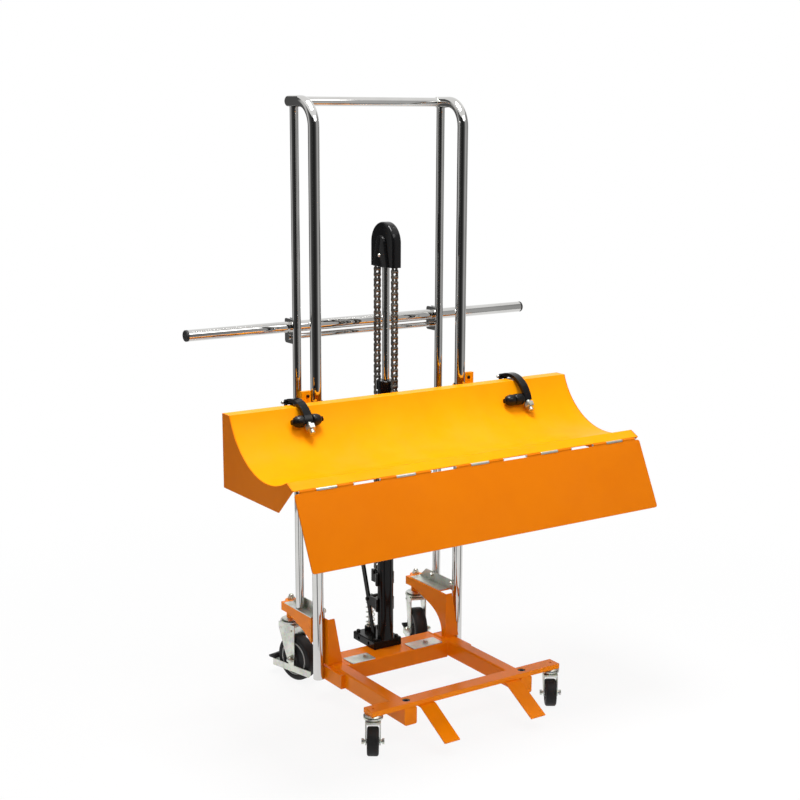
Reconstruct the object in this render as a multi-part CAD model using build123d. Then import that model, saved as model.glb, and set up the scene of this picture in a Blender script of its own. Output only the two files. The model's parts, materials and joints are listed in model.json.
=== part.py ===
from build123d import *
import os
from math import cos, sin, tan, pi, radians, sqrt, hypot

# Hydraulic roll lifter. Millimetres, Z up, front toward -Y, floor at z = 0.

# Fits and seats
seat_gap = 0.3
running_gap = 0.05
slide_gap = 0.3
side_gap = 0.5

# Mast: plane of the front tubes behind the origin, tubes and cross tube
mast_y = 131.2
front_tube_x = 250.0
front_tube_d = 32.0
front_tube_bottom = 63.0
tube_wall = 2.5
mast_top_z = 1725.0
mast_bend_r = 70.0
stub_back = 132.0
stub_plug_t = 4.0
rear_tube_x = 248.0
rear_tube_back = 110.0
rear_tube_d = 25.0
cross_tube_d = 26.0

# Push bar and its brackets
bar_d = 32.0
bar_half = 577.0
bar_z = 1093.0
cap_length = 8.0
cap_plug = 20.0
cap_gap = 0.2
cap_round = 3.0
cheek_t = 4.0
cheek_spread = 5.5
cheek_over = 24.0
cheek_under = 47.0
cheek_reach = 24.0
cheek_corner = 8.0
tie_rod_d = 16.0
tie_rod_drop = 29.0
tie_rod_out = 3.0

# Base rails, crossbar, crossmember
rail_x = 201.0
rail_w = 40.0
rail_h = 50.0
rail_bottom = 58.0
rail_wall = 3.0
rail_corner = 5.0
rail_front = 414.0
rail_back = 30.0
crossbar_half = 325.5
crossbar_w = 46.0
crossbar_t = 14.0
crossbar_front = 390.0
crossbar_corner = 3.0
crossbar_screw_d = 23.0
crossbar_screw_deep = 7.0
screw_sink = 1.0
stem_hole_d = 8.0
stem_hole_deep = 8.0
member_front = 50.0
member_back = 60.0
member_drop = 3.0
member_h = 51.0
member_wall = 4.0
foot_plate_front = 101.0
foot_plate_back = 25.0
foot_plate_low = 2.0
foot_plate_high = 7.0

# Ramp plates
ramp_x = 148.0
ramp_w = 50.0
ramp_t = 4.0
ramp_bend_front = 420.0
ramp_tip_front = 537.0
ramp_tip_z = 42.0
ramp_bend_r = 14.0

# Mast brackets: the gusset is outside the tubes on the left and inside them on the right
bracket_t = 4.0
left_gusset_x = -264.0
right_gusset_x = 190.0
left_flange_x = -232.0
flange_front = 25.0
flange_top_w = 23.0
flange_foot_w = 49.0
bracket_top = 248.0
gusset_heel = 21.0
gusset_arm_h = 26.0
gusset_flat = 47.0
gusset_bow_low = 0.17
gusset_bow_low_rise = 0.56
gusset_bow_high = 0.5
gusset_bow_high_rise = 0.79
deck_front = 19.0
sleeve_d = 30.0
sleeve_h = 51.0
sleeve_pad = 4.0

# Zinc trays with a wall beside the mast tubes, and zinc plates on the crossmember
tray_t = 3.0
tray_back = 176.0
tray_front = 5.0
wall_h = 29.0
wall_slope = 34.0
wall_bolt_in = 9.0
wall_bolt_rise = 0.6
deck_plate_t = 2.0
deck_corner = 4.0
deck_rail_gap = 18.0
left_deck_w = 82.0
right_deck_w = 107.0
left_deck_screw = 0.78
right_deck_screw = 0.58
deck_front_gap = 1.5
deck_back = 4.0
deck_screw_front = 20.0

# Screws
hex_w = 13.0
hex_h = 5.0
socket_screw_d = 12.0
socket_screw_h = 6.0
socket_share = 0.42
socket_deep = 3.0
block_screw_inset = 12.0

# Pump block, lift cylinder and rod
block_half = 49.0
block_front = 9.0
block_back = 131.0
block_h = 25.5
cylinder_back = 24.0
cylinder_d = 48.0
cylinder_bore = 38.0
cylinder_top = 905.0
gland_d = 56.0
gland_h = 26.0
rod_d = 22.0
rod_bottom = 540.0
piston_h = 24.0
cylinder_foot = 10.0
port_d = 12.0
port_deep = 9.0
port_inset = 33.0
clamp_wall = 7.0

# Pump plunger, return spring, lever and release valve
plunger_back = 109.0
plunger_d = 14.0
plunger_deep = 20.0
plunger_dip = 10.0
pump_body_d = 36.0
pump_body_h = 14.5
spring_d = 29.0
spring_wire = 3.2
spring_end_gap = 4.0
spring_length = 85.0
spring_turns = 5.5
plunger_cap_d = 29.0
plunger_cap_h = 6.0
lever_pivot_back = 86.0
lever_pivot_rise = 7.0
lever_lean = 17.5
lever_t = 6.0
lever_w = 16.0
lever_length = 250.0
lever_x = -18.0
lever_pin_d = 10.0
toe_r = 5.0
toe_w = 12.0
pedal_d = 24.0
pedal_w = 110.0
lever_cheek_t = 4.0
lever_right_x = 10.0
lever_eye_wall = 7.0
lever_foot_w = 16.0
clamp_down = 24.0
clamp_up = 16.0
release_x = 28.0
release_d = 10.0
release_deep = 14.0
release_out = 12.0
release_arm_w = 13.0
release_arm_length = 62.0
release_arm_rise = 16.0
release_arm_t = 5.0

# Chain, sprocket, cover
chain_pitch = 15.875
chain_roller_d = 10.0
chain_inner_w = 9.6
chain_plate_t = 2.0
chain_plate_h = 14.0
chain_end_gap = 0.1
chain_end_rise = 8.0
sprocket_teeth = 18
sprocket_z = 1331.0
sprocket_w = 8.8
tooth_root = 0.4
tooth_tip = 3.6
sprocket_hub_d = 32.0
sprocket_hole_d = 12.0
sprocket_hole_r = 28.0
sprocket_holes = 5
rear_pitches = 63
front_pitches = 33
axle_d = 14.0
clip_t = 2.0
clip_w = 3.0
yoke_t = 5.0
cover_half_w = 20.0
cover_t = 2.0
cover_clear = 5.0
cover_bottom = 1267.0
cover_round = 7.0
cover_panel_in = 15.0
cover_panel_up = 8.0
cover_panel_t = 1.5
cover_bolt_drop = 35.0
cover_bolt_d = 8.0
yoke_gap = 1.0
yoke_half = 20.0
yoke_top = 16.0
yoke_foot_h = 14.0
chain_pin_d = 12.0
chain_block_w = 28.0
chain_pin_w = 36.0
chain_slot = 10.0
anchor_down = 30.0
lug_down = 26.0
lug_flare = 20.0

# Carriage trough
trough_half = 576.0
sheet_t = 3.0
arc_front = 305.6
arc_z = 987.5
arc_r = 219.5
lip_turn = 69.5
lip_w = 39.0
nose_turn = 27.69
hinge_out = 33.4
hinge_drop = 18.6
nose_foot_in = 44.0
trough_bottom = 706.0

# Loading flap and its hinge
flap_length = 207.5
flap_inset = 2.0
flap_t = 4.0
flap_lean = 25.8
flap_corner = 8.0
knuckle_d = 7.0
knuckle_w = 60.0
flap_knuckle_w = 48.0
nose_gap = 0.6
nose_aim = 2.0
nose_weld = 3.0
hinge_pin_d = 4.0
pin_head = 1.0
pin_head_t = 2.0
hinge_end = 96.0
hinge_count = 5
foot_bend_r = 14.0

# Carriage guides on the front tubes
guide_wall = 2.8
bush_wall = 2.2
bush_stand = 3.0
upper_guide_drop = 34.0
guide_pitch = 70.0
guide_h = 40.0
guide_arm_w = 33.0
guide_arm_back = 9.0
guide_ear_front = 3.0
guide_ear_rise = 19.5

# Retainer arms
arm_left_clear = 59.0
arm_right_clear = 89.0
arm_w = 24.0
arm_t = 11.0
arm_pivot_back = 25.0
arm_pivot_rise = 3.5
arm_crest_in = 15.0
arm_crest_rise = 13.0
arm_tip_over = 9.5
arm_tip_under = 3.5
arm_eye_d = 16.0
arm_eye_w = 12.0
arm_pin_d = 8.0
arm_pin_out = 8.0
arm_lug_r = 8.0
arm_lug_drop = 60.0
roller_d = 34.0
roller_w = 30.0
roller_round = 4.0
roller_left_in = 35.5
roller_right_in = 46.5
roller_side = 2.0
roller_axle_d = 8.0
roller_boss_wall = 5.0

# Rear casters
rear_stem_x = 229.0
rear_stem_back = 197.0
rear_wheel_d = 140.0
rear_wheel_w = 40.0
rear_trail = 27.0
rear_left_turn = 13.0
rear_right_turn = -21.0
rear_leg_t = 3.0
rear_side_gap = 2.5
rear_stem_d = 12.0
rear_axle_d = 12.0
rear_nut_w = 18.0
rear_tyre_h = 18.0
rear_tread_round = 6.0
rear_shoulder = 10.0
rear_rim_h = 8.0
rear_hub_d = 34.0
rear_hub_out = 1.5
rear_web_in = 8.0
rear_fork_front = 38.0
rear_fork_back = 31.0
rear_fork_foot = 15.0
race_d = 62.0
race_h = 8.0
stem_nut_w = 19.0
stem_nut_h = 9.0
stem_dome_d = 16.0
stem_dome_h = 9.0
brake_drop = 18.0
brake_bar_h = 21.0
brake_bar_t = 3.0
brake_front = 84.0
brake_back = 82.0
brake_pad_long = 22.0
brake_pad_h = 12.0

# Front casters
front_stem_x = 308.0
front_wheel_d = 80.0
front_wheel_w = 32.0
front_trail = 28.0
front_turn = -34.0
front_leg_t = 3.0
front_side_gap = 2.0
front_axle_d = 10.0
front_nut_w = 14.0
front_hub_d = 24.0
front_rim_h = 9.0
front_shoulder = 4.0
front_fork_front = 32.0
front_fork_back = 25.0
front_fork_foot = 11.0
front_race_d = 54.0
front_race_h = 7.0
nut_out = 4.0
nut_h = 6.0
crown_h = 7.0
crown_drop = 10.0


# Places that follow from the sizes above
rail_top = rail_bottom + rail_h
rail_outer = rail_x + rail_w / 2
rail_inner = rail_x - rail_w / 2
crossbar_y = mast_y - crossbar_front
crossbar_top = rail_top + crossbar_t
member_top = rail_top - member_drop
block_top = member_top + block_h
tray_top = bracket_top + tray_t
rear_tube_y = mast_y + rear_tube_back
wall_outer = front_tube_x - front_tube_d / 2 - seat_gap
wall_inner = wall_outer - tray_t
tray_far_x = rear_tube_x + front_tube_d / 2
deck_edge = rail_inner - deck_rail_gap
bar_y_pos = rear_tube_y + rear_tube_d / 2 + bar_d / 2 + side_gap
cross_tube_y = mast_y + stub_back - cross_tube_d / 2
cylinder_y = mast_y + cylinder_back
plunger_y = mast_y + plunger_back
spring_foot = block_top + pump_body_h
spring_head = spring_foot + spring_length
cap_top = spring_head + plunger_cap_h
lever_pivot_y = mast_y + lever_pivot_back
lever_pivot_z = cap_top + lever_pivot_rise
pitch_r = chain_pitch / (2 * sin(pi / sprocket_teeth))
yoke_head = sprocket_z - pitch_r - chain_roller_d
yoke_foot = yoke_head - yoke_foot_h
anchor_z = sprocket_z - rear_pitches * chain_pitch
lug_z = sprocket_z - front_pitches * chain_pitch
rear_strand_y = cylinder_y + pitch_r
front_strand_y = cylinder_y - pitch_r
chain_end_half = chain_inner_w / 2 + chain_plate_t + chain_end_gap
cover_r = pitch_r + chain_plate_h / 2 + cover_clear + cover_t
arc_y = mast_y - arc_front
lip_front_y = arc_y + arc_r * sin(radians(lip_turn))
lip_rear_y = lip_front_y + lip_w
lip_z = arc_z - arc_r * cos(radians(lip_turn))
nose_y = arc_y - arc_r * sin(radians(nose_turn))
nose_z = arc_z - arc_r * cos(radians(nose_turn))
hinge_y = nose_y - hinge_out
hinge_z = nose_z - hinge_drop
nose_foot_y = nose_y + nose_foot_in
sheet_half = trough_half - sheet_t
flap_half = trough_half - flap_inset
hinge_step = 2 * (trough_half - hinge_end) / (hinge_count - 1)
upper_guide_z = lip_z - upper_guide_drop
lower_guide_z = upper_guide_z - guide_pitch
guide_outer = front_tube_x + front_tube_d / 2 + guide_arm_w
arm_left_x = -guide_outer - arm_left_clear
arm_right_x = guide_outer + arm_right_clear
arm_pivot_y = lip_rear_y + arm_pivot_back
arm_pivot_z = lip_z + arm_pivot_rise
roller_path = arc_r - roller_d / 2 - side_gap
roller_left_y = lip_front_y - roller_left_in
roller_left_z = arc_z - sqrt(roller_path ** 2 - (roller_left_y - arc_y) ** 2)
roller_right_y = lip_front_y - roller_right_in
roller_right_z = arc_z - sqrt(roller_path ** 2 - (roller_right_y - arc_y) ** 2)
rear_stem_y = mast_y + rear_stem_back
sleeve_bottom = bracket_top - bracket_t - sleeve_h
rear_race_z = sleeve_bottom - race_h
rear_axle_z = rear_wheel_d / 2
front_axle_z = front_wheel_d / 2
front_race_z = rail_top - front_race_h


def block(x0, x1, y0, y1, z0, z1):
    return Pos((x0 + x1) / 2, (y0 + y1) / 2, (z0 + z1) / 2) * Box(x1 - x0, y1 - y0, z1 - z0)


def rod_x(radius, x0, x1, y, z):
    return Pos((x0 + x1) / 2, y, z) * Rot(0, 90, 0) * Cylinder(radius, x1 - x0)


def rod_y(radius, x, y0, y1, z):
    return Pos(x, (y0 + y1) / 2, z) * Rot(90, 0, 0) * Cylinder(radius, y1 - y0)


def rod_z(radius, x, y, z0, z1):
    return Pos(x, y, (z0 + z1) / 2) * Cylinder(radius, z1 - z0)


def side_plate(outline, x0, x1):
    face = Pos(x0, 0, 0) * (Plane.YZ * make_face(outline))
    return extrude(face, x1 - x0, dir=(1, 0, 0))


def front_plate(outline, y0, y1):
    face = Pos(0, y0, 0) * (Plane.XZ * make_face(outline))
    return extrude(face, y1 - y0, dir=(0, 1, 0))


def closed_line(*points):
    return Polyline(*points, close=True)


def hex_z(across, x, y, z0, z1):
    face = Pos(x, y, z0) * RegularPolygon(across / 2, 6, major_radius=False)
    return extrude(face, z1 - z0, dir=(0, 0, 1))


def hex_x(across, x0, x1, y, z):
    face = Pos(x0, y, z) * (Plane.YZ * RegularPolygon(across / 2, 6, major_radius=False))
    return extrude(face, x1 - x0, dir=(1, 0, 0))


def save(name, solids):
    shape = solids[0] if len(solids) == 1 else Compound(children=[s.solid() for s in solids])
    export_step(shape, "parts/" + name + ".step")


# Base frame

def side_rail(side):
    length = rail_front + rail_back
    mid_y = mast_y + (rail_back - rail_front) / 2
    outer = RectangleRounded(rail_w, rail_h, rail_corner)
    inner = RectangleRounded(rail_w - 2 * rail_wall, rail_h - 2 * rail_wall, rail_corner - rail_wall)
    shell = extrude(Plane.XZ * outer, length / 2, both=True)
    hollow = extrude(Plane.XZ * inner, length / 2 - rail_wall, both=True)
    return Pos(side * rail_x, mid_y, rail_bottom + rail_h / 2) * (shell - hollow)


def rear_crossmember():
    depth = member_front + member_back
    outer = RectangleRounded(depth, member_h, rail_corner)
    inner = RectangleRounded(depth - 2 * member_wall, member_h - 2 * member_wall, 1)
    tube = extrude(Plane.YZ * (outer - inner), rail_inner, both=True)
    return Pos(0, mast_y + (member_back - member_front) / 2, member_top - member_h / 2) * tube


def front_crossbar():
    outline = RectangleRounded(2 * crossbar_half, crossbar_w, crossbar_corner)
    bar = extrude(Pos(0, crossbar_y, rail_top) * outline, crossbar_t)
    bar = chamfer(bar.edges().group_by(Axis.Z)[-1], 1)
    for side in (-1, 1):
        screw_floor = crossbar_top - crossbar_screw_deep
        stem_floor = crossbar_top - stem_hole_deep
        bar -= rod_z(crossbar_screw_d / 2, side * rail_x, crossbar_y, screw_floor, crossbar_top)
        bar -= rod_z(stem_hole_d / 2, side * front_stem_x, crossbar_y, stem_floor, crossbar_top)
    return bar


def ramp_plate(side):
    rear_y = crossbar_y + crossbar_w / 2
    bend_y = mast_y - ramp_bend_front
    tip_y = mast_y - ramp_tip_front
    mid_z = rail_top - ramp_t / 2
    path = FilletPolyline((rear_y, mid_z), (bend_y, mid_z), (tip_y, ramp_tip_z), radius=ramp_bend_r)
    face = trace(path, ramp_t)
    solid = extrude(Pos(side * ramp_x - ramp_w / 2, 0, 0) * (Plane.YZ * face), ramp_w, dir=(1, 0, 0))
    return solid


def foot_plate(side):
    inner_x = rail_outer
    outer_x = front_tube_x - front_tube_d / 2 - seat_gap
    x0, x1 = sorted((side * inner_x, side * outer_x))
    z0 = rail_bottom + foot_plate_low
    z1 = rail_top - foot_plate_high
    return block(x0, x1, mast_y - foot_plate_front, mast_y + foot_plate_back, z0, z1)


def gusset_outline():
    front_y = mast_y - flange_front
    heel_y = front_y + gusset_heel
    flat_y = rear_stem_y - gusset_flat
    arm_z = bracket_top - gusset_arm_h
    run = flat_y - heel_y
    rise = arm_z - rail_top
    lower = Spline(
        (heel_y, rail_top),
        (heel_y + gusset_bow_low * run, rail_top + gusset_bow_low_rise * rise),
        (heel_y + gusset_bow_high * run, rail_top + gusset_bow_high_rise * rise),
        (flat_y, arm_z),
    )
    return lower + Polyline(
        (flat_y, arm_z),
        (rear_stem_y, arm_z),
        (rear_stem_y, bracket_top),
        (front_y, bracket_top),
        (front_y, rail_top),
        (heel_y, rail_top),
    )


def bracket_flange(bend_x):
    front_y = mast_y - flange_front
    outline = closed_line(
        (bend_x, rail_top),
        (bend_x + flange_foot_w, rail_top),
        (bend_x + flange_top_w, bracket_top),
        (bend_x, bracket_top),
    )
    return front_plate(outline, front_y, front_y + bracket_t)


def bracket_deck(x0, x1):
    return block(x0, x1, mast_y + deck_front, rear_stem_y, bracket_top - bracket_t, bracket_top)


def with_sleeve(plates, stem_x):
    pad = rod_z(sleeve_d / 2 + sleeve_pad, stem_x, rear_stem_y, bracket_top - bracket_t, bracket_top)
    sleeve = rod_z(sleeve_d / 2, stem_x, rear_stem_y, sleeve_bottom, bracket_top)
    bore = rod_z(rear_stem_d / 2 + running_gap, stem_x, rear_stem_y, sleeve_bottom, bracket_top)
    return plates + pad + sleeve - bore


def left_bracket():
    plate = side_plate(gusset_outline(), left_gusset_x, left_gusset_x + bracket_t)
    web_y = mast_y + deck_front
    front_y = mast_y - flange_front
    gusset = plate - block(2 * left_gusset_x, 0, front_y - 1, web_y, 0, mast_top_z)
    web_low = rail_top + gusset_bow_low_rise * (bracket_top - gusset_arm_h - rail_top)
    inner_x = left_flange_x + bracket_t
    web = block(left_gusset_x, inner_x, web_y, web_y + bracket_t, web_low, bracket_top)
    side = block(left_flange_x, inner_x, front_y, web_y + bracket_t, rail_top, bracket_top)
    deck = bracket_deck(left_gusset_x, inner_x)
    return with_sleeve(bracket_flange(left_flange_x) + side + web + gusset + deck, -rear_stem_x)


def right_bracket():
    gusset = side_plate(gusset_outline(), right_gusset_x, right_gusset_x + bracket_t)
    deck = bracket_deck(right_gusset_x, tray_far_x)
    return with_sleeve(bracket_flange(right_gusset_x) + gusset + deck, rear_stem_x)


def zinc_tray(x0, x1, wall_x):
    front_y = mast_y - tray_front
    back_y = mast_y + tray_back
    wall_top = tray_top + wall_h
    floor = block(x0, x1, mast_y + deck_front, back_y, bracket_top, tray_top)
    outline = closed_line(
        (front_y, bracket_top),
        (back_y, bracket_top),
        (back_y, tray_top),
        (back_y - wall_slope, wall_top),
        (front_y, wall_top),
    )
    return floor + side_plate(outline, wall_x, wall_x + tray_t)


def deck_plate(x0, width):
    y0 = mast_y - member_front + deck_front_gap
    y1 = mast_y + deck_back
    plate = RectangleRounded(width, y1 - y0, deck_corner)
    return Pos(x0 + width / 2, (y0 + y1) / 2, member_top) * extrude(plate, deck_plate_t)


# Mast tubes and push bar

def front_tube(side):
    x = side * front_tube_x
    end_y = mast_y + stub_back
    path = FilletPolyline(
        (x, mast_y, front_tube_bottom),
        (x, mast_y, mast_top_z),
        (x, end_y, mast_top_z),
        radius=mast_bend_r,
    )
    ring = Circle(front_tube_d / 2) - Circle(front_tube_d / 2 - tube_wall)
    tube = sweep(Pos(x, mast_y, front_tube_bottom) * ring, path=path)
    plug = rod_y(front_tube_d / 2 - tube_wall / 2, x, end_y - stub_plug_t, end_y, mast_top_z)
    return tube + plug


def rear_tube(side):
    x = side * rear_tube_x
    tube = rod_z(rear_tube_d / 2, x, rear_tube_y, tray_top, mast_top_z)
    tube -= rod_z(rear_tube_d / 2 - tube_wall, x, rear_tube_y, tray_top, mast_top_z)
    stub = rod_y(front_tube_d / 2 + seat_gap, side * front_tube_x, mast_y, mast_y + stub_back, mast_top_z)
    return (tube - stub).solids().sort_by(Axis.Z)[0]


def top_cross_tube():
    rear_tube_low = mast_top_z - cross_tube_d
    tube = rod_x(cross_tube_d / 2, -front_tube_x, front_tube_x, cross_tube_y, mast_top_z)
    tube -= rod_x(cross_tube_d / 2 - tube_wall, -front_tube_x, front_tube_x, cross_tube_y, mast_top_z)
    for side in (-1, 1):
        x = side * front_tube_x
        tube -= rod_y(front_tube_d / 2 + seat_gap, x, mast_y, cross_tube_y + cross_tube_d, mast_top_z)
        rear_x = side * rear_tube_x
        tube -= rod_z(rear_tube_d / 2 + seat_gap, rear_x, rear_tube_y, rear_tube_low, mast_top_z)
    return max(tube.solids(), key=lambda s: s.volume)


def push_bar():
    bar = rod_x(bar_d / 2, -bar_half, bar_half, bar_y_pos, bar_z)
    return bar - rod_x(bar_d / 2 - tube_wall, -bar_half, bar_half, bar_y_pos, bar_z)


def bar_cap(side):
    head = Rot(0, 90, 0) * Cylinder(bar_d / 2, cap_length)
    head = fillet(head.edges().sort_by(Axis.X)[-1], cap_round)
    plug = Rot(0, 90, 0) * Cylinder(bar_d / 2 - tube_wall - cap_gap, cap_plug)
    cap = head + Pos(-(cap_length + cap_plug) / 2, 0, 0) * plug
    turn = 0 if side > 0 else 180
    return Pos(side * (bar_half + cap_length / 2), bar_y_pos, bar_z) * Rot(0, 0, turn) * cap


def bar_cheek(tube_x, x0):
    back = bar_y_pos + cheek_reach
    low = bar_z - cheek_under
    high = bar_z + cheek_over
    plate = Pos((rear_tube_y + back) / 2, (low + high) / 2) * RectangleRounded(
        back - rear_tube_y, high - low, cheek_corner
    )
    plate -= Pos(bar_y_pos, bar_z) * Circle(bar_d / 2 + seat_gap)
    plate -= Pos(bar_y_pos, bar_z - tie_rod_drop) * Circle(tie_rod_d / 2 + seat_gap)
    cheek = extrude(Pos(x0, 0, 0) * (Plane.YZ * plate), cheek_t, dir=(1, 0, 0))
    return cheek - rod_z(rear_tube_d / 2 + seat_gap, tube_x, rear_tube_y, low, high)


def bar_cheeks():
    plates = []
    for side in (-1, 1):
        x = side * rear_tube_x
        plates.append(bar_cheek(x, x + cheek_spread))
        plates.append(bar_cheek(x, x - cheek_spread - cheek_t))
    return plates


def tie_rod():
    half = rear_tube_x + cheek_spread + cheek_t + tie_rod_out
    return rod_x(tie_rod_d / 2, -half, half, bar_y_pos, bar_z - tie_rod_drop)


# Screws of the base

def frame_screws():
    screws = []
    for side in (-1, 1):
        low = crossbar_top - crossbar_screw_deep
        high = crossbar_top - screw_sink
        head = rod_z(crossbar_screw_d / 2 - screw_sink, side * rail_x, crossbar_y, low, high)
        socket = hex_z(crossbar_screw_d * socket_share, side * rail_x, crossbar_y, high - socket_deep, high)
        screws.append(head - socket)
        x0, x1 = sorted((side * wall_inner, side * (wall_inner - hex_h)))
        for y in (mast_y - tray_front + wall_bolt_in, rear_tube_y):
            screws.append(hex_x(hex_w, x0, x1, y, tray_top + wall_bolt_rise * wall_h))
        x = side * (block_half - block_screw_inset)
        for y in (mast_y + block_front + block_screw_inset, mast_y + block_back - block_screw_inset):
            top = block_top + socket_screw_h
            head = rod_z(socket_screw_d / 2, x, y, block_top, top)
            screws.append(head - hex_z(socket_screw_d * socket_share, x, y, top - socket_deep, top))
    left_x = -deck_edge + left_deck_screw * left_deck_w
    right_x = deck_edge - right_deck_w + right_deck_screw * right_deck_w
    low = member_top + deck_plate_t
    for x in (left_x, right_x):
        screws.append(hex_z(hex_w, x, mast_y - deck_screw_front, low, low + hex_h))
    return screws


# Hydraulic unit

def pump_block():
    mid_z = member_top + block_h / 2
    back_y = mast_y + block_back
    front_y = mast_y + block_front
    shape = block(-block_half, block_half, front_y, back_y, member_top, block_top)
    shape = chamfer(shape.edges(), 2)
    for y in (front_y + port_inset, back_y - port_inset):
        shape -= rod_x(port_d / 2, -block_half, -block_half + port_deep, y, mid_z)
    valve = rod_y(release_d / 2 + running_gap, release_x, back_y - release_deep, back_y, mid_z)
    bore = rod_z(plunger_d / 2 + running_gap, 0, plunger_y, block_top - plunger_deep, block_top)
    return shape - valve - bore


def cylinder_tube():
    tube = rod_z(cylinder_d / 2, 0, cylinder_y, block_top, cylinder_top)
    return tube - rod_z(cylinder_bore / 2, 0, cylinder_y, block_top + cylinder_foot, cylinder_top)


def cylinder_gland():
    nut = rod_z(gland_d / 2, 0, cylinder_y, cylinder_top, cylinder_top + gland_h)
    nut = chamfer(nut.edges().group_by(Axis.Z)[-1], 2)
    return nut - rod_z(rod_d / 2 + running_gap, 0, cylinder_y, cylinder_top, cylinder_top + gland_h)


def piston_rod():
    rod = rod_z(rod_d / 2, 0, cylinder_y, rod_bottom, yoke_foot)
    head = rod_z(cylinder_bore / 2 - running_gap, 0, cylinder_y, rod_bottom - piston_h, rod_bottom)
    return rod + head


def pump_housing():
    body = rod_z(pump_body_d / 2, 0, plunger_y, block_top, spring_foot)
    body = chamfer(body.edges().group_by(Axis.Z)[-1], 1.5)
    return body - rod_z(plunger_d / 2 + running_gap, 0, plunger_y, block_top, spring_foot)


def pump_plunger():
    rod = rod_z(plunger_d / 2, 0, plunger_y, spring_foot - plunger_dip, spring_head)
    cap = rod_z(plunger_cap_d / 2, 0, plunger_y, spring_head, cap_top)
    return rod + fillet(cap.edges().group_by(Axis.Z)[-1], 1.5)


def spring_path():
    radius = (spring_d - spring_wire) / 2
    lead = spring_wire
    low = spring_foot + lead + spring_end_gap
    high = spring_head - lead - spring_end_gap
    rise = (high - low) / (2 * pi * spring_turns)

    def station(angle):
        spot = Vector(radius * cos(angle), plunger_y + radius * sin(angle), low + rise * angle)
        heading = Vector(-radius * sin(angle), radius * cos(angle), rise).normalized()
        return spot, heading

    steps = int(round(spring_turns * 4))
    first = Vector(radius * cos(-0.5), plunger_y + radius * sin(-0.5), spring_foot)
    stops = [(first, Vector(0, 0, 1)), (first + Vector(0, 0, lead), Vector(0, 0, 1))]
    stops += [station((k + 1) * pi / 2) for k in range(steps - 1)]
    last_angle = steps * pi / 2 + 0.5
    last = Vector(radius * cos(last_angle), plunger_y + radius * sin(last_angle), spring_head)
    stops += [(last - Vector(0, 0, lead), Vector(0, 0, 1)), (last, Vector(0, 0, 1))]
    return stops


def biarc(start, heading, end, out_heading):
    span = end - start
    both = heading + out_heading
    turn = 2 * (1 - heading.dot(out_heading))
    if turn < 1e-9:
        return [Line(start, end)]
    reach = span.dot(both)
    size = (sqrt(reach ** 2 + turn * span.dot(span)) - reach) / turn
    join = (start + heading * size + end - out_heading * size) * 0.5
    first = TangentArc(start, join, tangent=heading)
    second = TangentArc(end, join, tangent=-out_heading)
    return [first, TangentArc(join, end, tangent=-(second % 1))]


def return_spring():
    stops = spring_path()
    edges = []
    for (start, heading), (end, out_heading) in zip(stops, stops[1:]):
        edges += biarc(start, heading, end, out_heading)
    wire = Wire([e.edge() for e in edges])
    profile = Plane(origin=stops[0][0], z_dir=(0, 0, 1)) * RegularPolygon(spring_wire / 2, 8)
    points = [e @ (k / 6) for e in edges for k in range(6)]
    least = spring_d
    for i, p in enumerate(points):
        for q in points[i + 18:]:
            least = min(least, (p - q).length)
    print("least gap of the spring to itself", round(least - spring_wire, 2), "mm")
    return sweep(profile, path=wire)


def clamp_half(low, high):
    outer = cylinder_d / 2 + clamp_wall
    ring = rod_z(outer, 0, cylinder_y, low, high)
    return ring - block(-outer, outer, cylinder_y - outer, cylinder_y, low, high)


def clamp_bore(low, high):
    return rod_z(cylinder_d / 2 + seat_gap / 3, 0, cylinder_y, low, high)


def lever_bracket():
    low = lever_pivot_z - clamp_down
    high = lever_pivot_z + clamp_up
    root_y = cylinder_y + clamp_wall
    eye = lever_pin_d / 2 + lever_eye_wall
    left = lever_x - lever_t / 2 - side_gap - lever_cheek_t
    cheek = side_plate(
        closed_line(
            (root_y, low),
            (lever_pivot_y, lever_pivot_z - eye),
            (lever_pivot_y + eye, lever_pivot_z),
            (lever_pivot_y, lever_pivot_z + eye),
            (root_y, high),
        ),
        left,
        left + lever_cheek_t,
    )
    foot_y = lever_pivot_y - (lever_pivot_z - block_top) * tan(radians(lever_lean))
    half = lever_foot_w / 2
    strut = side_plate(
        closed_line(
            (foot_y - half, block_top),
            (foot_y + half, block_top),
            (lever_pivot_y + half, lever_pivot_z),
            (lever_pivot_y - half, lever_pivot_z),
        ),
        left,
        left + lever_cheek_t,
    )
    shape = clamp_half(low, high) + cheek + strut + Pos(lever_right_x - left, 0, 0) * cheek
    shape -= clamp_bore(low, high)
    pin_end = lever_right_x + 2 * lever_cheek_t
    return shape + rod_x(lever_pin_d / 2, left - lever_cheek_t, pin_end, lever_pivot_y, lever_pivot_z)


def pump_lever():
    inner = lever_x - lever_t / 2
    hub_end = lever_right_x - side_gap
    hub = rod_x(lever_pin_d / 2 + lever_eye_wall - 1, inner, hub_end, lever_pivot_y, lever_pivot_z)
    half_toe = toe_w / 2
    toe = block(-half_toe, half_toe, lever_pivot_y, plunger_y, lever_pivot_z - toe_r, lever_pivot_z + toe_r)
    toe += rod_x(toe_r, -half_toe, half_toe, plunger_y, lever_pivot_z)
    slope = radians(lever_lean)
    run = Vector(0, sin(slope), cos(slope))
    side = Vector(0, cos(slope), -sin(slope))
    start = Vector(0, lever_pivot_y, lever_pivot_z) + side * (lever_w / 4)
    end = start + run * lever_length
    half = side * (lever_w / 2)
    corners = [start - half, start + half, end + half, end - half]
    bar = side_plate(closed_line(*[(c.Y, c.Z) for c in corners]), inner, inner + lever_t)
    pedal = rod_x(pedal_d / 2, -pedal_w / 2, pedal_w / 2, end.Y, end.Z)
    pedal = fillet(pedal.edges(), pedal_d / 6)
    shape = hub + toe + bar + pedal
    return shape - rod_x(lever_pin_d / 2 + running_gap, inner, hub_end, lever_pivot_y, lever_pivot_z)


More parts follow.
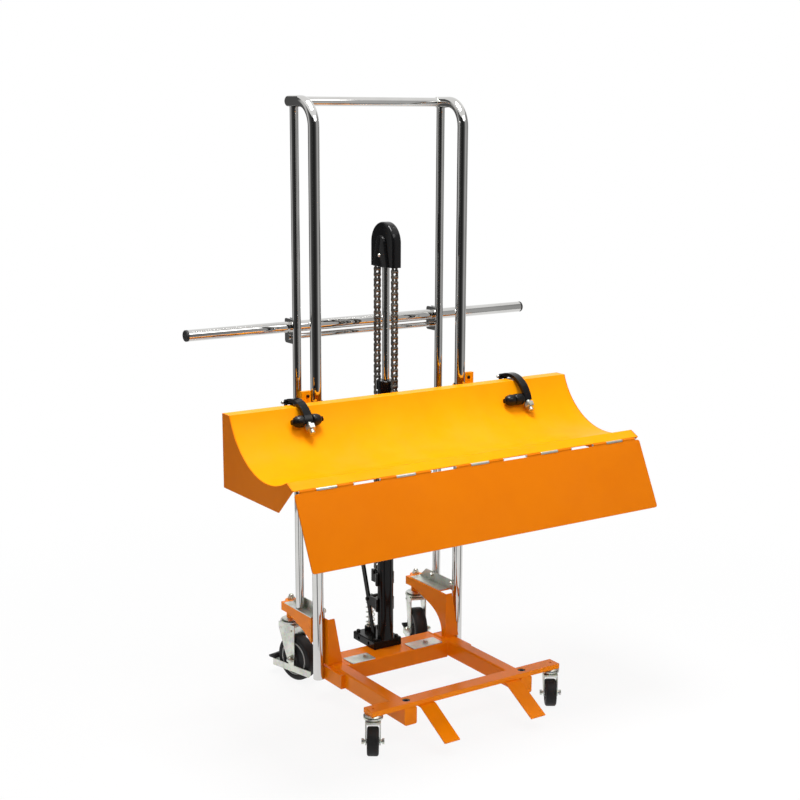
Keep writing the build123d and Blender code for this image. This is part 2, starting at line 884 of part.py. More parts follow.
def release_lever():
    z = member_top + block_h / 2
    y = mast_y + block_back
    spindle = rod_y(release_d / 2, release_x, y - release_deep + 1, y + release_out, z)
    half = release_arm_w / 2
    tip_x = release_x + release_arm_length
    arm_y = y + (release_out - release_arm_t) / 2
    outline = closed_line(
        (release_x - half, z - half),
        (tip_x, z + release_arm_rise - half),
        (tip_x, z + release_arm_rise + half),
        (release_x - half, z + half),
    )
    return spindle + front_plate(outline, arm_y, arm_y + release_arm_t)


# Chain lift

def sprocket_profile():
    step = 2 * pi / sprocket_teeth
    root = pitch_r - chain_roller_d / 2 - tooth_root
    tip = pitch_r + tooth_tip
    tooth = ((-0.17, root), (0.17, root), (0.36, pitch_r), (0.46, tip), (0.54, tip), (0.64, pitch_r))
    points = []
    for k in range(sprocket_teeth):
        for turn, radius in tooth:
            angle = (k + turn) * step
            points.append((radius * cos(angle), radius * sin(angle)))
    return points


def chain_sprocket():
    face = make_face(closed_line(*sprocket_profile()))
    width = chain_inner_w + 2 * yoke_gap
    wheel = extrude(Plane.YZ * face, sprocket_w / 2, both=True)
    wheel += Rot(0, 90, 0) * Cylinder(sprocket_hub_d / 2, width)
    wheel -= Rot(0, 90, 0) * Cylinder(axle_d / 2 + running_gap, width)
    for k in range(sprocket_holes):
        angle = 2 * pi * k / sprocket_holes
        hole = Rot(0, 90, 0) * Cylinder(sprocket_hole_d / 2, width)
        wheel -= Pos(0, sprocket_hole_r * cos(angle), sprocket_hole_r * sin(angle)) * hole
    return Pos(0, cylinder_y, sprocket_z) * wheel


def yoke_inner():
    return chain_inner_w / 2 + yoke_gap + side_gap / 2


def sprocket_yoke():
    inner = yoke_inner()
    outer = inner + yoke_t
    low = yoke_foot - sprocket_z
    shoulder = -yoke_top / 2
    face = make_face(
        closed_line(
            (-yoke_half, low),
            (yoke_half, low),
            (yoke_half, shoulder),
            (yoke_half * 0.6, yoke_top),
            (-yoke_half * 0.6, yoke_top),
            (-yoke_half, shoulder),
        )
    )
    cheek = extrude(Plane.YZ * face, yoke_t)
    cheeks = Pos(inner, cylinder_y, sprocket_z) * cheek + Pos(-outer, cylinder_y, sprocket_z) * cheek
    foot_top = yoke_head - clip_t
    foot = rod_z(yoke_half - clip_t, 0, cylinder_y, yoke_foot, foot_top)
    foot += block(-outer, outer, cylinder_y - yoke_half, cylinder_y + yoke_half, yoke_foot, foot_top)
    return cheeks + foot - rod_x(axle_d / 2, -outer, outer, cylinder_y, sprocket_z)


def sprocket_axle():
    end = yoke_inner() + yoke_t
    pin = rod_x(axle_d / 2, -end, end, cylinder_y, sprocket_z)
    clips = rod_x(axle_d / 2 + clip_w, -end - clip_t, -end, cylinder_y, sprocket_z)
    clips += rod_x(axle_d / 2 + clip_w, end, end + clip_t, cylinder_y, sprocket_z)
    return pin + clips


def cover_outline(radius, bottom):
    y0 = cylinder_y - radius
    y1 = cylinder_y + radius
    arch = ThreePointArc((y0, sprocket_z), (cylinder_y, sprocket_z + radius), (y1, sprocket_z))
    return arch + Polyline((y1, sprocket_z), (y1, bottom), (y0, bottom), (y0, sprocket_z))


def sprocket_cover():
    shell = side_plate(cover_outline(cover_r, cover_bottom), -cover_half_w, cover_half_w)
    edges = shell.edges().filter_by(lambda e: abs(e.center().Z - cover_bottom) > 1)
    shell = fillet(edges, cover_round)
    inner_half = cover_half_w - cover_t
    hollow = side_plate(cover_outline(cover_r - cover_t, cover_bottom - 1), -inner_half, inner_half)
    face = cover_half_w + cover_panel_t
    panel_line = cover_outline(cover_r - cover_panel_in, cover_bottom + cover_panel_up)
    panels = side_plate(panel_line, -face, -cover_half_w) + side_plate(panel_line, cover_half_w, face)
    bolt_z = sprocket_z - cover_bolt_drop
    return shell - hollow + panels - rod_x(cover_bolt_d / 2 + running_gap, -face, face, cylinder_y, bolt_z)


def cover_bolts():
    inner = yoke_inner() + yoke_t
    wall = cover_half_w - cover_t
    face = cover_half_w + cover_panel_t
    z = sprocket_z - cover_bolt_drop
    bolts = []
    for side in (-1, 1):
        x0, x1 = sorted((side * inner, side * wall))
        spacer = rod_x(cover_bolt_d / 2 + clip_w, x0, x1, cylinder_y, z)
        x0, x1 = sorted((side * wall, side * face))
        shank = rod_x(cover_bolt_d / 2, x0, x1, cylinder_y, z)
        x0, x1 = sorted((side * face, side * (face + hex_h)))
        bolts.append(spacer + shank + hex_x(hex_w, x0, x1, cylinder_y, z))
    return bolts


def chain_plate(start, end, x0):
    along = (end - start).normalized()
    across = Vector(0, -along.Z, along.Y)
    half = chain_plate_h / 2
    tip = half * 0.42
    reach = half * 0.97
    corners = [
        start - along * reach + across * tip,
        start + across * half,
        end + across * half,
        end + along * reach + across * tip,
        end + along * reach - across * tip,
        end - across * half,
        start - across * half,
        start - along * reach - across * tip,
    ]
    return side_plate(closed_line(*[(c.Y, c.Z) for c in corners]), x0, x0 + chain_plate_t)


def chain_links(joints, first_outer, roller_spots):
    solids = []
    inner = chain_inner_w / 2
    for k, (start, end) in enumerate(zip(joints, joints[1:])):
        outer = (k % 2 == 0) == first_outer
        gap = inner + (chain_plate_t if outer else 0)
        solids.append(chain_plate(start, end, gap))
        solids.append(chain_plate(start, end, -gap - chain_plate_t))
    for spot in roller_spots:
        face = Plane.YZ * RegularPolygon(chain_roller_d / 2, 6)
        solids.append(extrude(Pos(-inner, spot.Y, spot.Z) * face, 2 * inner, dir=(1, 0, 0)))
    return solids


def rear_strand_joints():
    return [Vector(0, rear_strand_y, anchor_z + k * chain_pitch) for k in range(rear_pitches + 1)]


def wrap_joints():
    step = 2 * pi / sprocket_teeth
    half = sprocket_teeth // 2
    return [
        Vector(0, cylinder_y + pitch_r * cos(k * step), sprocket_z + pitch_r * sin(k * step))
        for k in range(half + 1)
    ]


def front_strand_joints():
    return [Vector(0, front_strand_y, sprocket_z - k * chain_pitch) for k in range(front_pitches + 1)]


def chain_anchor():
    low = anchor_z - anchor_down
    high = anchor_z + chain_end_rise
    half = chain_block_w / 2
    back = rear_strand_y + chain_pin_d
    arm = block(-half, half, cylinder_y, back, low, high)
    arm += rod_x(chain_pin_d / 2, -chain_pin_w / 2, chain_pin_w / 2, rear_strand_y, anchor_z)
    slot_y = rear_strand_y - chain_slot
    arm -= block(-chain_end_half, chain_end_half, slot_y, back + 1, anchor_z - chain_slot, high)
    return clamp_half(low, high) + arm - clamp_bore(low, high)


# Carriage

def arc_point(radius, y):
    return (y, arc_z - sqrt(radius ** 2 - (y - arc_y) ** 2))


def nose_point(inset):
    aim_y = hinge_y - nose_y
    aim_z = hinge_z + nose_aim - nose_z
    reach = hypot(aim_y, aim_z)
    along = (aim_y / reach, aim_z / reach)
    run = reach - knuckle_d / 2 - nose_gap
    return (nose_y + along[0] * run - along[1] * inset, nose_z + along[1] * run + along[0] * inset)


def trough_top_line():
    start = (lip_front_y, lip_z)
    end = (nose_y, nose_z)
    arc = ThreePointArc(start, (arc_y, arc_z - arc_r), end)
    return Line((lip_rear_y, lip_z), start) + arc + Line(end, nose_point(0))


def skin_outline():
    low_r = arc_r + sheet_t
    low_z = lip_z - sheet_t
    low_start = (arc_y + sqrt(low_r ** 2 - (arc_z - low_z) ** 2), low_z)
    low_end = arc_point(low_r, nose_y)
    low_arc = ThreePointArc(low_start, (arc_y, arc_z - low_r), low_end)
    tail = Polyline(nose_point(0), nose_point(sheet_t), low_end)
    lip = Polyline(low_start, (lip_rear_y, low_z), (lip_rear_y, lip_z))
    return trough_top_line() + tail + low_arc + lip


def hinge_stations():
    return [(k - (hinge_count - 1) / 2) * hinge_step for k in range(hinge_count)]


def trough_skin():
    sheet = side_plate(skin_outline(), -sheet_half, sheet_half)
    for x in hinge_stations():
        x0 = x - knuckle_w / 2
        x1 = x + knuckle_w / 2
        knuckle_top = (hinge_y, hinge_z + knuckle_d / 2)
        leaf_line = closed_line(nose_point(0), knuckle_top, (hinge_y, hinge_z), nose_point(sheet_t))
        leaf = side_plate(leaf_line, x0, x1)
        sheet += rod_x(knuckle_d / 2, x0, x1, hinge_y, hinge_z) + leaf
    return sheet - rod_x(hinge_pin_d / 2 + running_gap, -sheet_half, sheet_half, hinge_y, hinge_z)


def trough_back():
    return block(-sheet_half, sheet_half, lip_rear_y - sheet_t, lip_rear_y, trough_bottom, lip_z - sheet_t)


def trough_underside():
    tip = nose_point(sheet_t)
    mid_z = trough_bottom + sheet_t / 2
    path = FilletPolyline(
        (lip_rear_y - sheet_t, mid_z),
        (nose_foot_y, mid_z),
        (tip[0] + nose_weld, tip[1] + nose_weld),
        radius=foot_bend_r,
    )
    face = trace(path, sheet_t)
    plate = extrude(Pos(-sheet_half, 0, 0) * (Plane.YZ * face), 2 * sheet_half, dir=(1, 0, 0))
    skin = side_plate(skin_outline(), -sheet_half, sheet_half)
    return max((plate - skin).solids(), key=lambda s: s.volume)


def trough_end(side):
    tip = nose_point(sheet_t)
    rest = Polyline(
        nose_point(0),
        tip,
        (nose_foot_y, trough_bottom),
        (lip_rear_y, trough_bottom),
        (lip_rear_y, lip_z),
    )
    x0, x1 = sorted((side * sheet_half, side * trough_half))
    return side_plate(trough_top_line() + rest, x0, x1)


def guide_bracket(side, mid_z):
    x = side * front_tube_x
    bush_r = front_tube_d / 2 + slide_gap + bush_wall
    z0 = mid_z - guide_h / 2
    z1 = mid_z + guide_h / 2
    shape = rod_z(bush_r + guide_wall, x, mast_y, z0, z1)
    arm_start = front_tube_x + front_tube_d / 2
    x0, x1 = sorted((side * arm_start, side * guide_outer))
    back = mast_y + guide_arm_back
    shape += block(x0, x1, lip_rear_y, back, z0, z1)
    if mid_z == upper_guide_z:
        shape += block(x0, x1, mast_y - guide_ear_front, back, mid_z, lip_z + guide_ear_rise)
    return shape - rod_z(bush_r + running_gap, x, mast_y, z0, lip_z + guide_ear_rise)


def guide_bush(side, mid_z):
    x = side * front_tube_x
    inner = front_tube_d / 2 + slide_gap
    half = guide_h / 2 + bush_stand
    bush = rod_z(inner + bush_wall, x, mast_y, mid_z - half, mid_z + half)
    return bush - rod_z(inner, x, mast_y, mid_z - half, mid_z + half)


def chain_lug():
    low = lug_z - lug_down
    high = lug_z + chain_end_rise
    back = front_strand_y + chain_slot
    slot_y = front_strand_y - chain_slot
    outline = closed_line(
        (lip_rear_y, low - lug_flare),
        (back, low),
        (back, high),
        (slot_y, high),
        (lip_rear_y, high + lug_flare),
    )
    shape = side_plate(outline, -chain_block_w / 2, chain_block_w / 2)
    shape += rod_x(chain_pin_d / 2, -chain_pin_w / 2, chain_pin_w / 2, front_strand_y, lug_z)
    return shape - block(-chain_end_half, chain_end_half, slot_y, back, lug_z - chain_slot, high)


def hinge_pin(x):
    half = knuckle_w / 2 + side_gap + flap_knuckle_w + side_gap
    pin = rod_x(hinge_pin_d / 2, x - half, x + half, hinge_y, hinge_z)
    for end in (x - half - pin_head_t, x + half):
        pin += rod_x(hinge_pin_d / 2 + pin_head, end, end + pin_head_t, hinge_y, hinge_z)
    return pin


def loading_flap():
    lean = radians(flap_lean)
    down = Vector(0, -sin(lean), -cos(lean))
    out = Vector(0, -cos(lean), sin(lean))
    pivot = Vector(0, hinge_y, hinge_z)

    def panel(near, far, x0, x1):
        half = out * (flap_t / 2)
        corners = [pivot + down * near - half, pivot + down * near + half]
        corners += [pivot + down * far + half, pivot + down * far - half]
        return side_plate(closed_line(*[(c.Y, c.Z) for c in corners]), x0, x1)

    edge = knuckle_d / 2 + nose_gap
    flap = panel(edge, flap_length, -flap_half, flap_half)
    corner_edges = flap.edges().filter_by(lambda e: abs(e.length - flap_t) < 0.01)
    flap = fillet(corner_edges, flap_corner)
    near = knuckle_w / 2 + side_gap
    far = near + flap_knuckle_w
    for x in hinge_stations():
        for side in (-1, 1):
            x0, x1 = sorted((x + side * near, x + side * far))
            flap += rod_x(knuckle_d / 2, x0, x1, hinge_y, hinge_z) + panel(0, edge + 1, x0, x1)
    return flap - rod_x(hinge_pin_d / 2 + running_gap, -flap_half, flap_half, hinge_y, hinge_z)


def arm_hinge(x):
    inner = arm_eye_w / 2 + side_gap
    outer = arm_w / 2
    far_y = arm_pivot_y + arm_lug_r
    lug_line = closed_line(
        (lip_rear_y, lip_z - arm_lug_drop),
        (far_y, arm_pivot_z - arm_lug_r),
        (far_y, arm_pivot_z),
        (arm_pivot_y, arm_pivot_z),
        (arm_pivot_y, arm_pivot_z - arm_lug_r),
        (lip_rear_y, arm_pivot_z - arm_lug_r),
    )
    shape = side_plate(lug_line, x + inner, x + outer) + side_plate(lug_line, x - outer, x - inner)
    shape += rod_x(arm_lug_r, x + inner, x + outer, arm_pivot_y, arm_pivot_z)
    shape += rod_x(arm_lug_r, x - outer, x - inner, arm_pivot_y, arm_pivot_z)
    pin_end = outer + arm_pin_out
    return shape + rod_x(arm_pin_d / 2, x - pin_end, x + pin_end, arm_pivot_y, arm_pivot_z)


def roller_spans(x):
    start = arm_w / 2 + roller_side
    near = (x - start - roller_w, x - start)
    if x < 0:
        return [near, (x + start, x + start + roller_w)]
    step = roller_w + roller_side
    return [(near[0] - step, near[1] - step), near]


def retainer_arm(x, roller_y, roller_z):
    half = arm_w / 2
    path = ThreePointArc(
        (arm_pivot_y, arm_pivot_z),
        (lip_rear_y - arm_crest_in, lip_z + arm_crest_rise),
        (roller_y - arm_tip_over, roller_z - arm_tip_under),
    )
    face = trace(path, arm_t)
    shape = extrude(Pos(x - half, 0, 0) * (Plane.YZ * face), arm_w, dir=(1, 0, 0))
    for x0, x1 in ((x - half, x - arm_eye_w / 2), (x + arm_eye_w / 2, x + half)):
        shape -= rod_x(arm_lug_r + side_gap, x0, x1, arm_pivot_y, arm_pivot_z)
    shape += rod_x(arm_eye_d / 2, x - arm_eye_w / 2, x + arm_eye_w / 2, arm_pivot_y, arm_pivot_z)
    shape += rod_x(roller_axle_d / 2 + roller_boss_wall, x - half, x + half, roller_y, roller_z)
    shape -= rod_x(arm_pin_d / 2 + running_gap, x - half, x + half, arm_pivot_y, arm_pivot_z)
    spans = roller_spans(x)
    start = spans[0][0] - roller_side
    end = max(spans[1][1], x + half) + roller_side
    shape += rod_x(roller_axle_d / 2, start, end, roller_y, roller_z)
    for clip_x in (start - clip_t, end):
        shape += rod_x(roller_axle_d / 2 + clip_w, clip_x, clip_x + clip_t, roller_y, roller_z)
    return shape


def retainer_rollers(x, roller_y, roller_z):
    rollers = []
    for x0, x1 in roller_spans(x):
        roller = rod_x(roller_d / 2, x0, x1, roller_y, roller_z)
        roller = fillet(roller.edges(), roller_round)
        rollers.append(roller - rod_x(roller_axle_d / 2 + running_gap, x0, x1, roller_y, roller_z))
    return rollers


# Casters, drawn with the swivel axis on Z and the wheel rolling along Y

def wheel_section(points):
    return revolve(Plane.XY * make_face(closed_line(*points)), Axis.X)


def rear_stem():
    low = rear_race_z
    race_r = race_d / 2
    stem_r = rear_stem_d / 2
    profile = [
        (0, low),
        (race_r - race_h / 2, low),
        (race_r, low + race_h * 0.4),
        (race_r - race_h / 4, low + race_h * 0.6),
        (sleeve_d / 2 + 1, sleeve_bottom),
        (stem_r, sleeve_bottom),
        (stem_r, bracket_top),
        (0, bracket_top),
    ]
    stem = revolve(Plane.XZ * make_face(closed_line(*profile)), Axis.Z)
    nut_top = bracket_top + stem_nut_h
    nut = hex_z(stem_nut_w, 0, 0, bracket_top, nut_top)
    dome = rod_z(stem_dome_d / 2, 0, 0, nut_top - 1, nut_top + stem_dome_h)
    dome = fillet(dome.edges().group_by(Axis.Z)[-1], stem_dome_d * 0.38)
    return stem + nut + dome


def fork_body(crown_z, crown_d, gap, leg_t, leg_line, axle_y, axle_z, axle_r, nut_w):
    outer = gap + leg_t
    end = outer + nut_out
    legs = side_plate(leg_line, gap, outer) + side_plate(leg_line, -outer, -gap)
    bar = rod_x(axle_r, -end, end, axle_y, axle_z)
    nuts = hex_x(nut_w, end, end + nut_h, axle_y, axle_z)
    nuts += hex_x(nut_w, -end - nut_h, -end, axle_y, axle_z)
    bowl = rod_z(crown_d / 2, 0, 0, crown_z - crown_h, crown_z)
    bowl = fillet(bowl.edges().group_by(Axis.Z)[0], crown_h / 2)
    return legs + bar + nuts + bowl


def rear_fork():
    gap = rear_wheel_w / 2 + rear_side_gap
    outer = gap + rear_leg_t
    top = rear_race_z - side_gap
    deck = top - crown_drop
    axle_y = -rear_trail
    line = closed_line(
        (-rear_fork_front, deck),
        (rear_fork_back, deck),
        (rear_fork_back, deck - rear_fork_foot),
        (axle_y + 2 * rear_fork_foot, rear_axle_z + rear_fork_foot),
        (axle_y + 1.2 * rear_fork_foot, rear_axle_z - rear_fork_foot * 0.7),
        (axle_y, rear_axle_z - rear_fork_foot),
        (axle_y - rear_fork_foot * 0.6, rear_axle_z - rear_fork_foot * 0.7),
        (-rear_fork_front, rear_axle_z),
    )
    crown_d = race_d + 2 * rear_leg_t
    shape = fork_body(top, crown_d, gap, rear_leg_t, line, axle_y, rear_axle_z, rear_axle_d / 2, rear_nut_w)
    low = deck - rear_leg_t
    return shape + block(-outer, outer, -rear_fork_front, rear_fork_back, low, deck + rear_leg_t)


def rear_wheel():
    half = rear_wheel_w / 2
    out = rear_wheel_d / 2
    rim = out - rear_tyre_h
    tread = half - rear_tread_round
    edge = half - rear_hub_out
    web = half - rear_web_in
    hub_r = rear_hub_d / 2
    hub_end = half + rear_hub_out
    bore = rear_axle_d / 2 + running_gap
    tyre = [
        (-half, rim),
        (-half, out - rear_shoulder),
        (-tread, out),
        (tread, out),
        (half, out - rear_shoulder),
        (half, rim),
    ]
    core = [
        (-hub_end, bore),
        (hub_end, bore),
        (hub_end, hub_r),
        (web, hub_r + rear_hub_out),
        (web, rim - rear_rim_h - rear_hub_out),
        (edge, rim - rear_rim_h),
        (edge, rim),
        (-edge, rim),
        (-edge, rim - rear_rim_h),
        (-web, rim - rear_rim_h - rear_hub_out),
        (-web, hub_r + rear_hub_out),
        (-hub_end, hub_r),
    ]
    spot = Pos(0, -rear_trail, rear_axle_z)
    return [spot * wheel_section(tyre), spot * wheel_section(core)]


def rear_brake():
    inner = rear_wheel_w / 2 + rear_side_gap + rear_leg_t + side_gap
    outer = inner + brake_bar_t
    axle_y = -rear_trail
    eye = rear_axle_d
    high = rear_axle_z - brake_drop
    low = high - brake_bar_h
    front_y = axle_y - brake_front
    back_y = axle_y + brake_back
    line = closed_line(
        (front_y, low + brake_bar_h / 3),
        (front_y + brake_bar_h / 3, low),
        (back_y, low),
        (back_y, high),
        (axle_y + eye, high),
        (axle_y + eye, rear_axle_z + eye / 2),
        (axle_y, rear_axle_z + eye),
        (axle_y - eye, rear_axle_z + eye / 2),
        (axle_y - eye, high),
        (front_y, high),
    )
    arms = side_plate(line, inner, outer) + side_plate(line, -outer, -inner)
    arms -= rod_x(rear_axle_d / 2 + running_gap, -outer, outer, axle_y, rear_axle_z)
    tie = block(-outer, outer, back_y - brake_bar_t, back_y, low, high)
    pad_y = back_y - 2 * brake_bar_t
    pad_line = closed_line(
        (pad_y, high),
        (pad_y + brake_pad_long, high),
        (pad_y + brake_pad_long + brake_bar_t, high + brake_pad_h / 3),
        (pad_y + brake_bar_t, high + brake_pad_h),
    )
    return arms + tie + side_plate(pad_line, -outer, outer)


def front_race():
    low = front_race_z
    race_r = front_race_d / 2
    profile = [
        (0, low),
        (race_r - front_race_h * 0.4, low),
        (race_r, low + front_race_h * 0.4),
        (race_r - front_race_h * 0.6, rail_top),
        (0, rail_top),
    ]
    return revolve(Plane.XZ * make_face(closed_line(*profile)), Axis.Z)


def front_fork():
    gap = front_wheel_w / 2 + front_side_gap
    outer = gap + front_leg_t
    top = front_race_z - side_gap
    deck = top - crown_drop
    axle_y = -front_trail
    foot = front_fork_foot
    line = closed_line(
        (-front_fork_front, deck),
        (front_fork_back, deck),
        (front_fork_back, deck - foot / 2),
        (axle_y + foot, front_axle_z + foot / 3),
        (axle_y + foot * 0.7, front_axle_z - foot * 0.8),
        (axle_y - foot * 0.7, front_axle_z - foot * 0.8),
        (axle_y - foot, front_axle_z + foot / 3),
    )
    shape = fork_body(
        top, front_race_d, gap, front_leg_t, line, axle_y, front_axle_z, front_axle_d / 2, front_nut_w
    )
    low = deck - front_leg_t
    return shape + block(-outer, outer, -front_fork_front, front_fork_back, low, deck + front_leg_t)


def front_wheel():
    half = front_wheel_w / 2
    out = front_wheel_d / 2
    bore = front_axle_d / 2 + running_gap
    hub_r = front_hub_d / 2
    hub_end = half + front_side_gap / 2
    web = half - front_shoulder
    rim = out - front_rim_h
    section = [
        (-hub_end, bore),
        (hub_end, bore),
        (hub_end, hub_r),
        (web, hub_r + front_side_gap),
        (web, rim - front_side_gap),
        (half, rim),
        (half, out - front_shoulder),
        (web, out),
        (-web, out),
        (-half, out - front_shoulder),
        (-half, rim),
        (-web, rim - front_side_gap),
        (-web, hub_r + front_side_gap),
        (-hub_end, hub_r),
    ]
    return Pos(0, -front_trail, front_axle_z) * wheel_section(section)


def rear_spot(side):
    turn = rear_left_turn if side < 0 else rear_right_turn
    return Pos(side * rear_stem_x, rear_stem_y, 0) * Rot(0, 0, turn)


def front_spot(side):
    return Pos(side * front_stem_x, crossbar_y, 0) * Rot(0, 0, front_turn)


def build():
    left, right = -1, 1
    os.makedirs("parts", exist_ok=True)
    save("side_rails", [side_rail(left), side_rail(right)])
    save("rear_crossmember", [rear_crossmember()])
    save("front_crossbar", [front_crossbar()])
    save("ramp_plates", [ramp_plate(left), ramp_plate(right)])
    save("foot_plates", [foot_plate(left), foot_plate(right)])
    save("mast_brackets", [left_bracket(), right_bracket()])
    left_tray = zinc_tray(left_gusset_x, -wall_inner, -wall_outer)
    right_tray = zinc_tray(right_gusset_x + bracket_t, tray_far_x, wall_inner)
    left_deck = deck_plate(-deck_edge, left_deck_w)
    right_deck = deck_plate(deck_edge - right_deck_w, right_deck_w)
    save("zinc_plates", [left_tray, right_tray, left_deck, right_deck])
    save("front_tube_left", [front_tube(left)])
    save("front_tube_right", [front_tube(right)])
    save("rear_tubes", [rear_tube(left), rear_tube(right)])
    save("top_cross_tube", [top_cross_tube()])
    save("push_bar", [push_bar()])
    save("push_bar_caps", [bar_cap(left), bar_cap(right)])
    save("bar_brackets", bar_cheeks())
    save("tie_rod", [tie_rod()])
    save("frame_screws", frame_screws())
    save("pump_block", [pump_block()])
    save("cylinder_tube", [cylinder_tube()])
    save("cylinder_gland", [cylinder_gland()])
    save("pump_housing", [pump_housing()])
    save("lever_bracket", [lever_bracket()])
    save("chain_anchor", [chain_anchor()])
    save("piston_rod", [piston_rod()])
    save("sprocket_yoke", [sprocket_yoke()])
    save("sprocket_axle", [sprocket_axle()])
    save("sprocket_cover", [sprocket_cover()])
    save("cover_bolts", cover_bolts())
    save("chain_sprocket", [chain_sprocket()])
    rear_joints = rear_strand_joints()
    front_joints = front_strand_joints()
    save("chain_rear_strand", chain_links(rear_joints, False, rear_joints[:-1]))
    save("chain_wrap", chain_links(wrap_joints(), True, wrap_joints()))
    save("chain_front_strand", chain_links(front_joints, False, front_joints[1:]))
    save("trough_skin", [trough_skin()])
    save("trough_back", [trough_back()])
    save("trough_underside", [trough_underside()])
    save("trough_ends", [trough_end(left), trough_end(right)])
    guides = [(side, z) for side in (left, right) for z in (lower_guide_z, upper_guide_z)]
    save("guide_brackets", [guide_bracket(side, z) for side, z in guides])
    save("guide_bushes", [guide_bush(side, z) for side, z in guides])
    save("chain_lug", [chain_lug()])
    save("hinge_pins", [hinge_pin(x) for x in hinge_stations()])
    save("loading_flap", [loading_flap()])
    save("arm_hinges", [arm_hinge(arm_left_x), arm_hinge(arm_right_x)])
    save("pump_plunger", [pump_plunger()])
    save("return_spring", [return_spring()])
    save("pump_lever", [pump_lever()])
    save("release_lever", [release_lever()])
    left_arm = (arm_left_x, roller_left_y, roller_left_z)
    right_arm = (arm_right_x, roller_right_y, roller_right_z)
    for name, place in (("left", left_arm), ("right", right_arm)):
        save("retainer_arm_" + name, [retainer_arm(*place)])
        save("arm_rollers_" + name, retainer_rollers(*place))
    stems = [rear_spot(side) * rear_stem() for side in (left, right)]
    races = [front_spot(side) * front_race() for side in (left, right)]
    save("caster_stems", stems + races)
    for side, name in ((left, "left"), (right, "right")):
        save("rear_fork_" + name, [rear_spot(side) * rear_fork()])
        save("rear_wheel_" + name, [rear_spot(side) * solid for solid in rear_wheel()])
        save("rear_brake_" + name, [rear_spot(side) * rear_brake()])
        save("front_fork_" + name, [front_spot(side) * front_fork()])
        save("front_wheel_" + name, [front_spot(side) * front_wheel()])


build()
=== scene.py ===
# %% [markdown]
# # A hydraulic roll lifter, dressed for the studio
# The CAD model gives every part its place, so this lesson adds what a photograph shows and a
# plain solid does not: paint that catches the light, chrome, crowned tyres, bolt heads and weld
# beads. The first step loads the imported CAD model.

# %% Load the frame
import json
import math

import bmesh
import bpy
from mathutils import Matrix, Vector

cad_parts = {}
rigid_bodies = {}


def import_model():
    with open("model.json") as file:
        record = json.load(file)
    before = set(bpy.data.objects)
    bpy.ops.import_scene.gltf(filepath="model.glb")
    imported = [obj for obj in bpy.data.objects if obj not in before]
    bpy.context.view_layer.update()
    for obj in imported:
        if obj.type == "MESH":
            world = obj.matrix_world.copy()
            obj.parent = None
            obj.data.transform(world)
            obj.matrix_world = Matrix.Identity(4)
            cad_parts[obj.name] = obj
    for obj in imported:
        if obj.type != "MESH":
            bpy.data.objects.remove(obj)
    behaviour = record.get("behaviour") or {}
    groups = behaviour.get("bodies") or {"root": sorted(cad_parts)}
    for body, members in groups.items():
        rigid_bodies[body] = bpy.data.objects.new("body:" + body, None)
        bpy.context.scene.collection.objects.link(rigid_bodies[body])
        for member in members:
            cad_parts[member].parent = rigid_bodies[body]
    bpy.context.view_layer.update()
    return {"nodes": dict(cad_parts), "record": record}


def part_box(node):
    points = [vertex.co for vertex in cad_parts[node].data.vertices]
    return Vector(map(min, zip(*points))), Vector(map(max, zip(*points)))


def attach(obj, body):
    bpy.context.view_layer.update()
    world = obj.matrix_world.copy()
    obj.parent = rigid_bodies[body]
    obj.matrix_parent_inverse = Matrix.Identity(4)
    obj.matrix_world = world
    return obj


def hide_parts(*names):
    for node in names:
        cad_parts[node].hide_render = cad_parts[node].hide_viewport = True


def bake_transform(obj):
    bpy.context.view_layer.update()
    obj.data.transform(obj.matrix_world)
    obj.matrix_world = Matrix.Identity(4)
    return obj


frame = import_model()
cad_nodes = frame["nodes"]

# %% [markdown]
# ## The camera
# The picture was taken a little left of the front, from just above the trough, with a short
# telephoto lens. A camera could be aimed with a constraint, but a matrix built from the azimuth,
# the elevation and the small roll says exactly where it looks.

# %% Camera
IMAGE_SIDE = 800
FOCAL_PIXELS = 1453.5
SENSOR_WIDTH = 36.0
LENS_SHIFT = (-0.012, 0.0453)
FAR_CLIP = 200
EYE = Vector((-2.2844, -3.3581, 1.7061))
AZIMUTH = math.radians(-34.0)
ELEVATION = math.radians(12.7)
ROLL = math.radians(0.3)

eye_back = Vector((
    math.sin(AZIMUTH) * math.cos(ELEVATION),
    -math.cos(AZIMUTH) * math.cos(ELEVATION),
    math.sin(ELEVATION),
))
level_right = Vector((math.cos(AZIMUTH), math.sin(AZIMUTH), 0))
level_up = eye_back.cross(level_right)
eye_right = level_right * math.cos(ROLL) + level_up * math.sin(ROLL)
eye_up = level_up * math.cos(ROLL) - level_right * math.sin(ROLL)
camera_data = bpy.data.cameras.new("studio_camera")
camera_data.sensor_width = SENSOR_WIDTH
camera_data.lens = FOCAL_PIXELS * SENSOR_WIDTH / IMAGE_SIDE
camera_data.shift_x, camera_data.shift_y = LENS_SHIFT
camera_data.clip_end = FAR_CLIP
camera = bpy.data.objects.new("studio_camera", camera_data)
scene_objects = bpy.context.scene.collection.objects
scene_objects.link(camera)
camera_turn = Matrix((eye_right, eye_up, eye_back)).transposed().to_4x4()
camera.matrix_world = Matrix.Translation(EYE) @ camera_turn
bpy.context.scene.camera = camera
bpy.context.scene.view_settings.view_transform = "Standard"
print("lens", round(camera_data.lens, 2), "mm")

# %% [markdown]
# ## Helpers for node trees
# Materials, the world and Geometry Nodes are all node trees. Every socket could be set and linked
# on a line of its own, but a few short helpers keep the cells easier to read: one fills a node's
# inputs, one adds a node, one starts a material, and three make kinds of node that turn up
# everywhere.


# %% Node helpers
def set_inputs(tree, node, inputs):
    """Each input, by name or number, takes another node's output or a plain value."""
    for key, value in inputs.items():
        if isinstance(value, bpy.types.NodeSocket):
            tree.links.new(value, node.inputs[key])
        else:
            node.inputs[key].default_value = value


